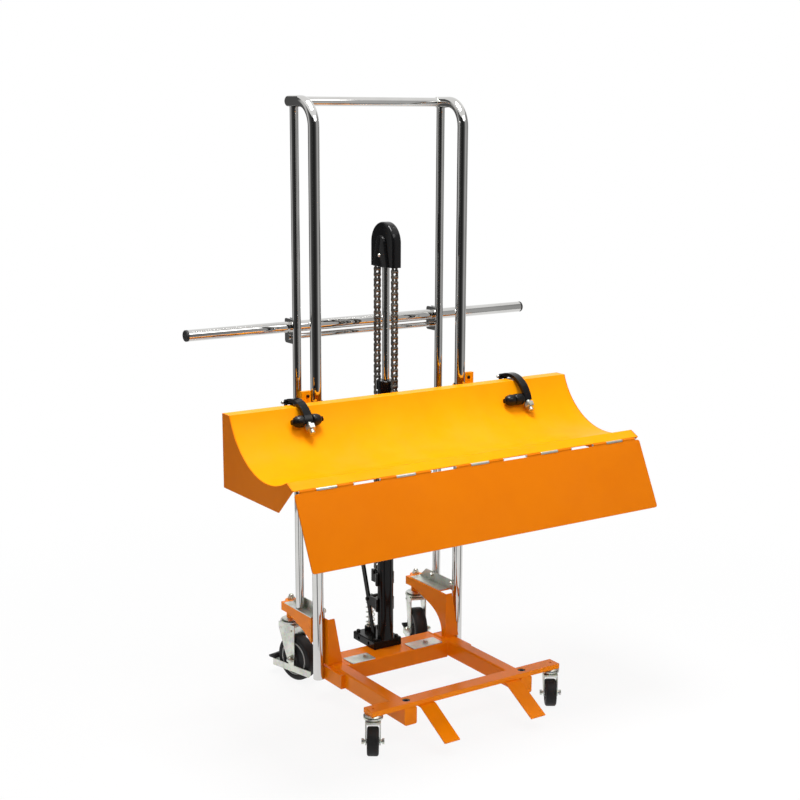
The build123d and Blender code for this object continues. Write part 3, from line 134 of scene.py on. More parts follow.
def add_node(tree, kind, inputs=None, **settings):
    node = tree.nodes.new(kind)
    for key, value in settings.items():
        setattr(node, key, value)
    set_inputs(tree, node, inputs or {})
    return node


def blank_material(name):
    material = bpy.data.materials.new(name)
    material.use_nodes = True
    material.node_tree.nodes.clear()
    return material, material.node_tree


# %% Common nodes
def math_node(tree, operation, first, second):
    return add_node(tree, "ShaderNodeMath", {0: first, 1: second}, operation=operation).outputs[0]


def map_range(tree, value, low, high, to_low, to_high):
    inputs = {
        "Value": value, "From Min": low, "From Max": high, "To Min": to_low, "To Max": to_high,
    }
    node = add_node(tree, "ShaderNodeMapRange", inputs, interpolation_type="SMOOTHSTEP")
    return node.outputs["Result"]


def mix_colour(tree, factor, first, second, blend="MIX"):
    """A colour is a tuple of red, green and blue, or another node's output."""
    colours = [(*colour, 1) if isinstance(colour, tuple) else colour for colour in (first, second)]
    inputs = {0: factor, 6: colours[0], 7: colours[1]}
    return add_node(tree, "ShaderNodeMix", inputs, data_type="RGBA", blend_type=blend).outputs[2]


# %% [markdown]
# ## Floor, room and lamps
# The picture has a white sweep, a bright ceiling light and some light from the front. The world
# could simply be bright white, but that would wash out the shadows, so it is white only where it
# is seen, in the picture and in reflections, and gives a plain fill to everything else. The floor
# is a pale disc that fades to white and keeps a soft shadow. Chrome would vanish against so much
# white, so a cloth hangs round the lifter out of the picture, as in a photographer's studio:
# black behind the camera, paler to both sides and dark again at the far left. A few dark strips
# lie on the floor, because the tubes near the ground mirror that. Only reflections see the cloth
# and the strips.

# %% World
FILL_LIGHT = 0.36
WHITE = (1, 1, 1, 1)


def seen_rays(tree):
    """One where a surface is looked at, straight on or in metal and glass, and nought for light."""
    rays = add_node(tree, "ShaderNodeLightPath").outputs
    mirrored_rays = math_node(tree, "MAXIMUM", rays["Is Glossy Ray"], rays["Is Transmission Ray"])
    return math_node(tree, "MAXIMUM", rays["Is Camera Ray"], mirrored_rays)


world = bpy.data.worlds.new("studio_room")
bpy.context.scene.world = world
world.use_nodes = True
room = world.node_tree
room.nodes.clear()
fill = add_node(room, "ShaderNodeBackground", {"Color": WHITE, "Strength": FILL_LIGHT})
white = add_node(room, "ShaderNodeBackground", {"Color": WHITE})
seen = add_node(room, "ShaderNodeMixShader", {
    0: seen_rays(room), 1: fill.outputs[0], 2: white.outputs[0],
})
add_node(room, "ShaderNodeOutputWorld", {0: seen.outputs[0]})
print("fill light", FILL_LIGHT)

# %% Floor
FLOOR_RADIUS = 3.4
FLOOR_SIDES = 96
FLOOR_GREY = (0.9, 0.9, 0.9, 1)
FADE_START, FADE_END = 0.5, FLOOR_RADIUS * 0.7
MIDDLE_GLOW, EDGE_GLOW = 0.9, 1.0
floor_mesh = bpy.data.meshes.new("studio_floor")
disc = bmesh.new()
bmesh.ops.create_circle(disc, cap_ends=True, segments=FLOOR_SIDES, radius=FLOOR_RADIUS)
disc.to_mesh(floor_mesh)
disc.free()
floor = bpy.data.objects.new("studio_floor", floor_mesh)
scene_objects.link(floor)
floor_paint, tree = blank_material("studio_floor")
place = add_node(tree, "ShaderNodeTexCoord").outputs["Object"]
radius = add_node(tree, "ShaderNodeVectorMath", {0: place}, operation="LENGTH").outputs["Value"]
fade = map_range(tree, radius, FADE_START, FADE_END, MIDDLE_GLOW, EDGE_GLOW)
lit = math_node(tree, "MULTIPLY", fade, seen_rays(tree))
matt = add_node(tree, "ShaderNodeBsdfDiffuse", {"Color": FLOOR_GREY})
glow = add_node(tree, "ShaderNodeEmission", {"Color": WHITE})
blend = add_node(tree, "ShaderNodeMixShader", {0: lit, 1: matt.outputs[0], 2: glow.outputs[0]})
add_node(tree, "ShaderNodeOutputMaterial", {0: blend.outputs[0]})
floor_mesh.materials.append(floor_paint)
print("floor radius", FLOOR_RADIUS, "m")


# %% Cloth tools
def studio_foot(degrees, reach):
    """Degrees to the right of the camera, seen from the lifter, and metres from its middle."""
    turn = AZIMUTH + math.radians(degrees)
    return Vector((math.sin(turn), -math.cos(turn), 0)) * reach


def hang_cloth(name, columns):
    """Each column is a low point, a high point and the shade there."""
    points = [point for low, high, _ in columns for point in (low, high)]
    faces = [(2 * k, 2 * k + 2, 2 * k + 3, 2 * k + 1) for k in range(len(columns) - 1)]
    mesh = bpy.data.meshes.new(name)
    mesh.from_pydata(points, [], faces)
    shades = mesh.attributes.new("shade", "FLOAT", "POINT")
    shades.data.foreach_set("value", [shade for _, _, shade in columns for _ in range(2)])
    cloth = bpy.data.objects.new(name, mesh)
    scene_objects.link(cloth)
    cloth.visible_camera = False
    cloth.visible_diffuse = False
    cloth.visible_shadow = False
    paint, tree = blank_material(name)
    shade = add_node(tree, "ShaderNodeAttribute", attribute_name="shade").outputs["Fac"]
    glow = add_node(tree, "ShaderNodeEmission", {"Strength": shade})
    add_node(tree, "ShaderNodeOutputMaterial", {0: glow.outputs[0]})
    mesh.materials.append(paint)


# %% Studio cloth
UP = Vector((0, 0, 1))
CLOTH_RADIUS = 2.3
CLOTH_HEIGHT = 3.1
CLOTH_STEPS = 4
CLOTH_SHADES = (
    (-150, 0.10), (-112, 0.10), (-104, 0.65), (-90, 0.65), (-76, 0.16), (-50, 0.05), (-15, 0.022),
    (12, 0.028), (30, 0.06), (48, 0.19), (68, 0.55), (84, 0.45), (104, 0.30), (150, 0.30),
)
cloth_columns = []
for (start, first), (end, last) in zip(CLOTH_SHADES, CLOTH_SHADES[1:]):
    for k in range(CLOTH_STEPS):
        foot = studio_foot(start + (end - start) * k / CLOTH_STEPS, CLOTH_RADIUS)
        shade = first + (last - first) * k / CLOTH_STEPS
        cloth_columns.append((foot, foot + UP * CLOTH_HEIGHT, shade))
hang_cloth("studio_cloth", cloth_columns)
print("cloth columns", len(cloth_columns))

# %% Floor strips
STRIP_REACH = 0.55
STRIP_HEIGHT = 0.002
STRIP_SHADE = 0.25
FLOOR_STRIPS = ((-142, -120), (-34, -14), (74, 98))
strip_rise = UP * STRIP_HEIGHT
for number, sides in enumerate(FLOOR_STRIPS):
    columns = []
    for side in sides:
        near = studio_foot(side, STRIP_REACH) + strip_rise
        far = studio_foot(side, CLOTH_RADIUS) + strip_rise
        columns.append((near, far, STRIP_SHADE))
    hang_cloth(f"floor_strip_{number}", columns)
print("floor strips", len(FLOOR_STRIPS))

# %% Lamps
LAMPS = (
    ("ceiling_box", (-0.2, -0.1, 3.3), (0, -0.1, 0.8), (1.2, 1.0), 80),
    ("front_box", (0.3, -1.9, 2.8), (0.1, -0.2, 0.1), (2.0, 1.0), 22),
    ("left_box", (-3.0, -1.6, 1.7), (0, 0, 0.9), (1.4, 2.2), 9),
    ("right_box", (2.6, -2.6, 2.0), (0, 0, 0.8), (1.2, 2.0), 6),
)
for name, place, aim, size, watts in LAMPS:
    lamp = bpy.data.lights.new(name, "AREA")
    lamp.shape = "RECTANGLE"
    lamp.size, lamp.size_y = size
    lamp.energy = watts
    holder = bpy.data.objects.new(name, lamp)
    scene_objects.link(holder)
    turn = (Vector(aim) - Vector(place)).to_track_quat("-Z", "Y").to_matrix().to_4x4()
    holder.matrix_world = Matrix.Translation(Vector(place)) @ turn
print("lamps:", len(LAMPS))

# %% [markdown]
# ## Effects that several finishes share
# Paint, plating and rubber all have a fine grain, and use wears their edges and leaves some dust.
# On paint the edges are also lighter, partly as wear and partly as a painted highlight.
# Each material could build these for itself, but several finishes share them, so each effect is a
# shader group that is built once. A group hands back masks, heights and normals only; the shader
# stays in the material.


# %% Group tools
def shader_group(name, inputs, outputs):
    group = bpy.data.node_groups.new(name, "ShaderNodeTree")
    for label, value in inputs:
        socket = group.interface.new_socket(label, in_out="INPUT", socket_type="NodeSocketFloat")
        socket.default_value = value
    for label, kind in outputs:
        group.interface.new_socket(label, in_out="OUTPUT", socket_type=kind)
    return group, add_node(group, "NodeGroupInput").outputs


def close_group(group, outputs):
    add_node(group, "NodeGroupOutput", outputs)
    print(group.name, "nodes", len(group.nodes))


def noise(tree, scale, detail, rough=0.5):
    spot = add_node(tree, "ShaderNodeTexCoord").outputs["Object"]
    inputs = {"Vector": spot, "Scale": scale, "Detail": detail, "Roughness": rough}
    return add_node(tree, "ShaderNodeTexNoise", inputs).outputs["Fac"]


# %% Grain
grain_group, taken = shader_group(
    "surface_grain",
    [("Grain scale", 400.0), ("Patch scale", 6.0)],
    [("Height", "NodeSocketFloat"), ("Patches", "NodeSocketFloat")],
)
close_group(grain_group, {
    "Height": noise(grain_group, taken["Grain scale"], 2.0),
    "Patches": noise(grain_group, taken["Patch scale"], 4.0, 0.6),
})

# %% Worn edges and painted edge highlight
edge_wear_and_highlight_group, taken = shader_group(
    "edge_wear_and_highlight",
    [("Width", 0.001), ("Break-up scale", 60.0)],
    [("Mask", "NodeSocketFloat"), ("Normal", "NodeSocketVector")],
)
# The mask marks rounded edges, broken into flecks; paint uses it both for wear and for a painted
# highlight.
rounded = add_node(edge_wear_and_highlight_group, "ShaderNodeBevel", {"Radius": taken["Width"]}, samples=4).outputs[0]
flat = add_node(edge_wear_and_highlight_group, "ShaderNodeNewGeometry").outputs["Normal"]
bend = add_node(edge_wear_and_highlight_group, "ShaderNodeVectorMath", {0: rounded, 1: flat}, operation="DOT_PRODUCT")
edge = map_range(edge_wear_and_highlight_group, bend.outputs["Value"], 0.98, 0.8, 0.0, 1.0)
broken = noise(edge_wear_and_highlight_group, taken["Break-up scale"], 4.0)
flecks = map_range(edge_wear_and_highlight_group, broken, 0.4, 0.65, 0.15, 1.0)
mask = math_node(edge_wear_and_highlight_group, "MULTIPLY", edge, flecks)
close_group(edge_wear_and_highlight_group, {"Mask": mask, "Normal": rounded})

# %% Settled dust
dust_group, taken = shader_group(
    "settled_dust",
    [("Patch scale", 9.0)],
    [("Mask", "NodeSocketFloat")],
)
normal = add_node(dust_group, "ShaderNodeNewGeometry").outputs["Normal"]
facing = add_node(dust_group, "ShaderNodeSeparateXYZ", {0: normal})
level = map_range(dust_group, facing.outputs["Z"], 0.3, 0.95, 0.0, 1.0)
clouds = noise(dust_group, taken["Patch scale"], 6.0, 0.65)
cloud = map_range(dust_group, clouds, 0.42, 0.7, 0.0, 1.0)
close_group(dust_group, {"Mask": math_node(dust_group, "MULTIPLY", level, cloud)})

# %% [markdown]
# ## Finishes
# The lifter is powder-coated, zinc-plated and chromed, and runs on rubber tyres. A finish could
# be a painted image, but noise in the object's own space needs no unwrapping and shows no seams.
# So each finish is one material: a Principled shader whose colour, roughness and normal vary a
# little over the surface. The paint has a faint orange-peel skin, the zinc is mottled, the chrome
# only clouds slightly, and rubber is grainy and grey where it is worn. Only the trough's paint is
# two materials: a lighter, yellower copy as painted light and a darker copy as painted shade.


# %% Finish helpers
def use_group(tree, group, inputs):
    return add_node(tree, "ShaderNodeGroup", inputs, node_tree=group).outputs


def finish(name, metallic=0.0, specular=0.5):
    material, tree = blank_material(name)
    inputs = {"Metallic": metallic, "Specular IOR Level": specular}
    shader = add_node(tree, "ShaderNodeBsdfPrincipled", inputs)
    add_node(tree, "ShaderNodeOutputMaterial", {0: shader.outputs[0]})
    return material, tree, shader


def skin_bump(tree, height, strength, distance):
    inputs = {"Strength": strength, "Distance": distance, "Height": height}
    return add_node(tree, "ShaderNodeBump", inputs)


def add_dust(tree, patch_scale, share, body, colour):
    dust = use_group(tree, dust_group, {"Patch scale": patch_scale})
    return mix_colour(tree, math_node(tree, "MULTIPLY", dust["Mask"], share), body, colour)


# %% Painted finishes
PAINT_DUST, PAINT_DUST_COLOUR = 0.015, (0.7, 0.66, 0.6)
EDGE_WEAR_AND_HIGHLIGHT = 0.35
PAINT_EDGE = 0.0012


def powder_coat(name, colour, deep, worn_and_highlit_tone, roughness, specular):
    material, tree, shader = finish(name, specular=specular)
    grain = use_group(tree, grain_group, {"Grain scale": 260.0, "Patch scale": 5.0})
    edges = use_group(tree, edge_wear_and_highlight_group, {"Width": PAINT_EDGE, "Break-up scale": 55.0})
    tone = map_range(tree, grain["Patches"], 0.3, 0.7, 0.0, 1.0)
    body = mix_colour(tree, tone, colour, deep)
    dusty = add_dust(tree, 7.0, PAINT_DUST, body, PAINT_DUST_COLOUR)
    # The edges take a lighter tone: partly worn paint, partly a painted highlight along the edges.
    rubbed_and_highlit = mix_colour(tree, math_node(tree, "MULTIPLY", edges["Mask"], EDGE_WEAR_AND_HIGHLIGHT), dusty, worn_and_highlit_tone)
    rough = map_range(tree, grain["Patches"], 0.25, 0.75, roughness, roughness + 0.1)
    skin = skin_bump(tree, grain["Height"], 0.06, 0.0006)
    set_inputs(tree, skin, {"Normal": edges["Normal"]})
    set_inputs(tree, shader, {"Base Color": rubbed_and_highlit, "Roughness": rough, "Normal": skin.outputs[0]})
    return material


BLACK, BLACK_PATCHES = (0.004, 0.004, 0.0045), (0.006, 0.006, 0.0065)
frame_orange = powder_coat(
    "frame_orange", (1.0, 0.265, 0.002), (0.96, 0.25, 0.002), (0.98, 0.36, 0.02), 0.16, 0.12
)
# The trough's paint is made twice. A lighter, yellower copy is painted light on the inside of the
# trough and on the guide brackets. A darker copy is painted shade on the flap, back, ends,
# underside, chain lug and carriage welds.
shaded_trough_orange = powder_coat(
    "shaded_trough_orange", (0.74, 0.185, 0.001), (0.71, 0.17, 0.001), (0.86, 0.32, 0.02), 0.3, 0.04
)
lit_trough_orange = powder_coat(
    "lit_trough_orange", (0.93, 0.34, 0.001), (0.92, 0.31, 0.001), (0.96, 0.40, 0.02), 0.3, 0.04
)
cover_black = powder_coat("cover_black", BLACK, BLACK_PATCHES, (0.02, 0.02, 0.02), 0.05, 0.22)
gloss_black = powder_coat("gloss_black", BLACK, BLACK_PATCHES, (0.03, 0.03, 0.03), 0.08, 0.18)
paints = (frame_orange, shaded_trough_orange, lit_trough_orange, cover_black, gloss_black)
print("paints:", [paint.name for paint in paints])

# %% Metal finishes
METAL_EDGE = 0.0008
FLAKE_SCALE = 220.0


def plated(name, bright, cloudy, roughness, spread, patch_scale, spangle=0.0, skin=0.02):
    material, tree, shader = finish(name, metallic=1.0)
    grain = use_group(tree, grain_group, {"Grain scale": 900.0, "Patch scale": patch_scale})
    tone = map_range(tree, grain["Patches"], 0.35, 0.65, 0.0, 1.0)
    body = mix_colour(tree, tone, bright, cloudy)
    if spangle:
        spot = add_node(tree, "ShaderNodeTexCoord").outputs["Object"]
        inputs = {"Vector": spot, "Scale": FLAKE_SCALE}
        flakes = add_node(tree, "ShaderNodeTexVoronoi", inputs, feature="F1")
        body = mix_colour(tree, spangle, body, flakes.outputs["Color"], "SOFT_LIGHT")
    rough = map_range(tree, grain["Patches"], 0.3, 0.7, roughness, roughness + spread)
    set_inputs(tree, shader, {"Base Color": body, "Roughness": rough})
    if skin:
        edges = use_group(tree, edge_wear_and_highlight_group, {"Width": METAL_EDGE})
        bump = skin_bump(tree, grain["Height"], skin, 0.0003)
        set_inputs(tree, bump, {"Normal": edges["Normal"]})
        set_inputs(tree, shader, {"Normal": bump.outputs[0]})
    return material


chrome = plated("chrome", (0.66, 0.655, 0.64), (0.61, 0.605, 0.59), 0.03, 0.025, 8.0, skin=0.0)
bright_zinc = plated(
    "bright_zinc", (0.69, 0.70, 0.64), (0.57, 0.58, 0.53), 0.32, 0.14, 30.0, spangle=0.25
)
oiled_steel = plated("oiled_steel", (0.26, 0.24, 0.21), (0.12, 0.11, 0.10), 0.26, 0.2, 40.0)
print("metals:", [metal.name for metal in (chrome, bright_zinc, oiled_steel)])

# %% Rubber and plastic
RUBBER_DUST, RUBBER_DUST_COLOUR = 0.03, (0.3, 0.29, 0.27)


def soft_black(name, colour, worn_and_highlit_tone, roughness, grain_scale, bump):
    material, tree, shader = finish(name, specular=0.25)
    grain = use_group(tree, grain_group, {"Grain scale": grain_scale, "Patch scale": 25.0})
    tone = map_range(tree, grain["Patches"], 0.35, 0.7, 0.0, 1.0)
    body = mix_colour(tree, tone, colour, worn_and_highlit_tone)
    dusty = add_dust(tree, 20.0, RUBBER_DUST, body, RUBBER_DUST_COLOUR)
    rough = map_range(tree, grain["Patches"], 0.3, 0.7, roughness, roughness + 0.15)
    skin = skin_bump(tree, grain["Height"], bump, 0.0006)
    set_inputs(tree, shader, {"Base Color": dusty, "Roughness": rough, "Normal": skin.outputs[0]})
    return material


tyre_rubber = soft_black(
    "tyre_rubber", (0.011, 0.011, 0.0115), (0.02, 0.0195, 0.019), 0.5, 700.0, 0.15
)
roller_rubber = soft_black(
    "roller_rubber", (0.004, 0.004, 0.004), (0.008, 0.008, 0.008), 0.22, 900.0, 0.05
)
cap_plastic = soft_black("cap_plastic", (0.02, 0.02, 0.021), (0.03, 0.03, 0.03), 0.5, 1500.0, 0.1)
wheel_dark = soft_black("wheel_dark", (0.03, 0.03, 0.032), (0.045, 0.045, 0.046), 0.4, 1200.0, 0.08)
wheel_grey = soft_black("wheel_grey", (0.42, 0.43, 0.42), (0.34, 0.35, 0.34), 0.35, 1200.0, 0.06)
mouldings = (tyre_rubber, roller_rubber, cap_plastic, wheel_dark, wheel_grey)
print("rubber and plastic:", [moulding.name for moulding in mouldings])

# %% Finishes on the CAD nodes
finishes = {
    frame_orange: """side_rails rear_crossmember front_crossbar ramp_plates foot_plates
        mast_brackets""",
    # The trough's inside and the guide brackets take the lighter copy, which is painted light; the
    # next line takes the darker copy, which is painted shade.
    lit_trough_orange: "trough_skin guide_brackets",
    shaded_trough_orange: "trough_back trough_underside trough_ends loading_flap chain_lug",
    chrome: """front_tube_left front_tube_right rear_tubes top_cross_tube push_bar tie_rod
        bar_brackets piston_rod""",
    bright_zinc: """zinc_plates caster_stems cover_bolts hinge_pins pump_plunger return_spring
        rear_fork_left rear_fork_right rear_brake_left rear_brake_right
        front_fork_left front_fork_right sprocket_axle""",
    gloss_black: """pump_block cylinder_tube cylinder_gland pump_housing lever_bracket chain_anchor
        sprocket_yoke arm_hinges retainer_arm_left retainer_arm_right pump_lever
        release_lever frame_screws""",
    cover_black: "sprocket_cover",
    oiled_steel: "chain_rear_strand chain_wrap chain_front_strand chain_sprocket",
    tyre_rubber: "rear_wheel_left rear_wheel_right front_wheel_left front_wheel_right",
    roller_rubber: "arm_rollers_left arm_rollers_right",
    cap_plastic: "push_bar_caps guide_bushes",
}
for material, names in finishes.items():
    for name in names.split():
        for slot in cad_nodes[name].material_slots:
            slot.material = material
undressed = set(cad_nodes) - {name for names in finishes.values() for name in names.split()}
print("nodes without a finish:", sorted(undressed))

# %% [markdown]
# ## Tools for the added pieces
# A piece is a plain mesh at the origin, with its place in its points, that rides on a CAD body or,
# where it runs between two bodies, stays fixed in the world. Where something repeats or follows a
# path, a Geometry Nodes tree makes it. The modifier could stay on the piece, but the tree runs once
# on a helper object, the result becomes a plain mesh, and the helper is removed, so nothing stays
# live.

# %% Mesh tools
SHARP_EDGE = 40.0


def smooth_mesh(mesh, sharp):
    mesh.shade_smooth()
    mesh.set_sharp_from_angle(angle=math.radians(sharp))
    return mesh


def finished_mesh(name, work, material, sharp):
    bmesh.ops.recalc_face_normals(work, faces=work.faces)
    mesh = bpy.data.meshes.new(name)
    work.to_mesh(mesh)
    work.free()
    mesh.materials.append(material)
    return smooth_mesh(mesh, sharp)


def solid_mesh(name, rings, material, closed=False, sharp=SHARP_EDGE):
    """Skins a stack of point rings; a closed stack joins its last ring to its first."""
    work = bmesh.new()
    loops = [[work.verts.new(point) for point in ring] for ring in rings]
    pairs = list(zip(loops, loops[1:] + loops[:1] if closed else loops[1:]))
    for low, high in pairs:
        for k in range(len(low)):
            work.faces.new((low[k - 1], low[k], high[k], high[k - 1]))
    if not closed:
        work.faces.new(loops[0])
        work.faces.new(loops[-1])
    return finished_mesh(name, work, material, sharp)


def join_meshes(name, meshes):
    work = bmesh.new()
    for mesh in meshes:
        work.from_mesh(mesh)
    joined = bpy.data.meshes.new(name)
    work.to_mesh(joined)
    work.free()
    joined.materials.append(meshes[0].materials[0])
    return joined


# %% Pieces on bodies
def add_piece(name, mesh, body, replaced=()):
    """A body is a name to ride on. A row of two bodies and two points is not used: such a piece
    stays fixed in the world.
    """
    piece = bpy.data.objects.new(name, mesh)
    scene_objects.link(piece)
    if isinstance(body, str):
        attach(piece, body)
    else:
        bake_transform(piece)
    if replaced:
        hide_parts(*replaced)


# %% Geometry Nodes tools
def geometry_tree(name, inputs):
    tree = bpy.data.node_groups.new(name, "GeometryNodeTree")
    tree.interface.new_socket("Geometry", in_out="INPUT", socket_type="NodeSocketGeometry")
    for label, kind, value in [*inputs, ("Material", "Material", None)]:
        socket = tree.interface.new_socket(label, in_out="INPUT", socket_type="NodeSocket" + kind)
        if value is not None:
            socket.default_value = value
    tree.interface.new_socket("Geometry", in_out="OUTPUT", socket_type="NodeSocketGeometry")
    return tree, add_node(tree, "NodeGroupInput").outputs


def close_tree(tree, taken, geometry):
    real = add_node(tree, "GeometryNodeRealizeInstances", {"Geometry": geometry})
    inputs = {"Geometry": real.outputs["Geometry"], "Material": taken["Material"]}
    paint = add_node(tree, "GeometryNodeSetMaterial", inputs)
    add_node(tree, "NodeGroupOutput", {"Geometry": paint.outputs["Geometry"]})
    print(tree.name, "nodes", len(tree.nodes))


# %% Grown meshes
def grow(name, seed_mesh, tree, values, sharp=SHARP_EDGE):
    helper = bpy.data.objects.new(name, seed_mesh)
    scene_objects.link(helper)
    modifier = helper.modifiers.new(tree.name, "NODES")
    modifier.node_group = tree
    for item in tree.interface.items_tree:
        if item.in_out == "INPUT" and item.name in values:
            modifier[item.identifier] = values[item.name]
    graph = bpy.context.evaluated_depsgraph_get()
    mesh = bpy.data.meshes.new_from_object(helper.evaluated_get(graph))
    mesh.name = name
    bpy.data.objects.remove(helper)
    return smooth_mesh(mesh, sharp)


def template(name, mesh):
    shape = bpy.data.objects.new(name, mesh)
    scene_objects.link(shape)
    return shape


def line_mesh(name, *paths):
    points = [point for path in paths for point in path]
    edges = []
    start = 0
    for path in paths:
        edges += [(start + k, start + k + 1) for k in range(len(path) - 1)]
        start += len(path)
    mesh = bpy.data.meshes.new(name)
    mesh.from_pydata(points, edges, [])
    return mesh


# %% [markdown]
# ## The lift chain
# The chain is the heart of the lifter: it starts at the anchor behind the cylinder, runs over the
# sprocket on the piston and comes down to the carriage. The links could be an array along a
# curve, but a chain alternates two kinds of link, so a tree puts an outer link on every other
# edge of the path and an inner link with its rollers on the rest. The chain pays out while the
# piston rises, but the strands stay fixed in the world; the wrap on the sprocket rides on the
# piston.

# %% Link shapes
MM = 0.001
CHAIN_PITCH = 15.875 * MM
PLATE_RADIUS = 7.0 * MM
PLATE_THICKNESS = 1.8 * MM
PLATE_PLAY = 0.25 * MM
PLATE_TURNS = range(-36, 217, 28)
INNER_FACE = 4.85 * MM
ROLLER_RADIUS, ROLLER_SIDES = 5.0 * MM, 12
PIN_RADIUS, PIN_SIDES = 2.5 * MM, 8
PIN_PROUD = 0.9 * MM


def circle_points(radius, x, z, count):
    turns = [2 * math.pi * k / count for k in range(count)]
    return [(x, radius * math.cos(turn), z + radius * math.sin(turn)) for turn in turns]


def plate_outline(x):
    points = []
    for end in (1, -1):
        for degrees in PLATE_TURNS:
            turn = math.radians(degrees)
            reach = CHAIN_PITCH / 2 + PLATE_RADIUS * math.sin(turn)
            points.append((x, end * PLATE_RADIUS * math.cos(turn), end * reach))
    return points


def link_mesh(name, face, radius, half, count):
    parts = []
    for side in (-1, 1):
        near, far = side * face, side * (face + PLATE_THICKNESS)
        parts.append(solid_mesh(name, [plate_outline(near), plate_outline(far)], oiled_steel))
    for end in (-0.5, 0.5):
        rings = [circle_points(radius, x, end * CHAIN_PITCH, count) for x in (-half, half)]
        parts.append(solid_mesh(name, rings, oiled_steel))
    return join_meshes(name, parts)


outer_face = INNER_FACE + PLATE_THICKNESS + PLATE_PLAY
pin_half = outer_face + PLATE_THICKNESS + PIN_PROUD
outer_mesh = link_mesh("outer_link", outer_face, PIN_RADIUS, pin_half, PIN_SIDES)
inner_mesh = link_mesh("inner_link", INNER_FACE, ROLLER_RADIUS, INNER_FACE, ROLLER_SIDES)
outer_link = template("outer_link", outer_mesh)
inner_link = template("inner_link", inner_mesh)
print("faces in a link:", len(outer_mesh.polygons), len(inner_mesh.polygons))

# %% Chain tree
chain_tree, taken = geometry_tree(
    "chain_along_edges",
    [("Outer link", "Object", None), ("Inner link", "Object", None), ("First is outer", "Int", 0)],
)
ends = add_node(chain_tree, "GeometryNodeInputMeshEdgeVertices").outputs
inputs = {0: ends["Position 2"], 1: ends["Position 1"]}
along = add_node(chain_tree, "ShaderNodeVectorMath", inputs, operation="SUBTRACT")
inputs = {"Vector": along.outputs["Vector"]}
turn = add_node(chain_tree, "FunctionNodeAlignRotationToVector", inputs, axis="Z", pivot_axis="X")
keep_turn = add_node(chain_tree, "GeometryNodeCaptureAttribute", domain="EDGE")
keep_turn.capture_items.new("ROTATION", "Turn")
set_inputs(chain_tree, keep_turn, {"Geometry": taken["Geometry"], "Turn": turn.outputs["Rotation"]})
inputs = {"Mesh": keep_turn.outputs["Geometry"]}
spots = add_node(chain_tree, "GeometryNodeMeshToPoints", inputs, mode="EDGES")
number = add_node(chain_tree, "GeometryNodeInputIndex").outputs[0]
count = math_node(chain_tree, "ADD", number, taken["First is outer"])
odd = math_node(chain_tree, "MODULO", count, 2.0)
even = math_node(chain_tree, "SUBTRACT", 1.0, odd)
both = add_node(chain_tree, "GeometryNodeJoinGeometry")
for label, chosen in (("Outer link", odd), ("Inner link", even)):
    shape = add_node(chain_tree, "GeometryNodeObjectInfo", {"Object": taken[label]})
    put = add_node(chain_tree, "GeometryNodeInstanceOnPoints", {
        "Points": spots.outputs["Points"], "Selection": chosen,
        "Instance": shape.outputs["Geometry"], "Rotation": keep_turn.outputs["Turn"],
    })
    set_inputs(chain_tree, both, {"Geometry": put.outputs["Instances"]})
close_tree(chain_tree, taken, both.outputs["Geometry"])

# %% Chain paths
SPROCKET_TEETH = 18
REAR_LINKS = 63
FRONT_LINKS = 33
joint_row = {joint["name"]: joint for joint in frame["record"]["behaviour"]["joints"]}
print("joints:", len(joint_row))
wheel_centre = Vector(joint_row["sprocket_spin"]["pos_m"])
pitch_radius = CHAIN_PITCH / (2 * math.sin(math.pi / SPROCKET_TEETH))
rear_y = wheel_centre.y + pitch_radius
front_y = wheel_centre.y - pitch_radius
rear_drops = [(REAR_LINKS - k) * CHAIN_PITCH for k in range(REAR_LINKS + 1)]
rear_path = [(0, rear_y, wheel_centre.z - drop) for drop in rear_drops]
front_path = [(0, front_y, wheel_centre.z - k * CHAIN_PITCH) for k in range(FRONT_LINKS + 1)]
wrap_path = []
for k in range(SPROCKET_TEETH // 2 + 1):
    turn = 2 * math.pi * k / SPROCKET_TEETH
    behind, above = pitch_radius * math.cos(turn), pitch_radius * math.sin(turn)
    wrap_path.append((0, wheel_centre.y + behind, wheel_centre.z + above))
print("pitch radius of the sprocket", round(pitch_radius, 5), "m")

# %% Chain strands
rear_bodies = ("frame", "lift_piston", rear_path[0], rear_path[-1])
front_bodies = ("lift_piston", "carriage", front_path[0], front_path[-1])
strands = (
    ("chain_rear", rear_path, 0, rear_bodies, "chain_rear_strand"),
    ("chain_over_sprocket", wrap_path, 1, "lift_piston", "chain_wrap"),
    ("chain_front", front_path, 0, front_bodies, "chain_front_strand"),
)
for name, path, first_outer, body, node in strands:
    values = {"Outer link": outer_link, "Inner link": inner_link}
    values |= {"First is outer": first_outer, "Material": oiled_steel}
    mesh = grow(name, line_mesh(name, path), chain_tree, values)
    add_piece(name, mesh, body, [node])
    print(name, "links", len(path) - 1, "faces", len(mesh.polygons))
for shape in (outer_link, inner_link):
    bpy.data.objects.remove(shape)

# %% [markdown]
# ## The return spring
# A wound spring pushes the plunger back up. It could be a Screw modifier on a circle, but its end
# turns lie closed against the seat and the cap, so the path is worked out as a helix whose pitch
# shrinks at both ends, and a tree sweeps the wire along it. It stands from the pump housing to the
# plunger and stays fixed in the world, so it does not shorten when the lever is pumped.

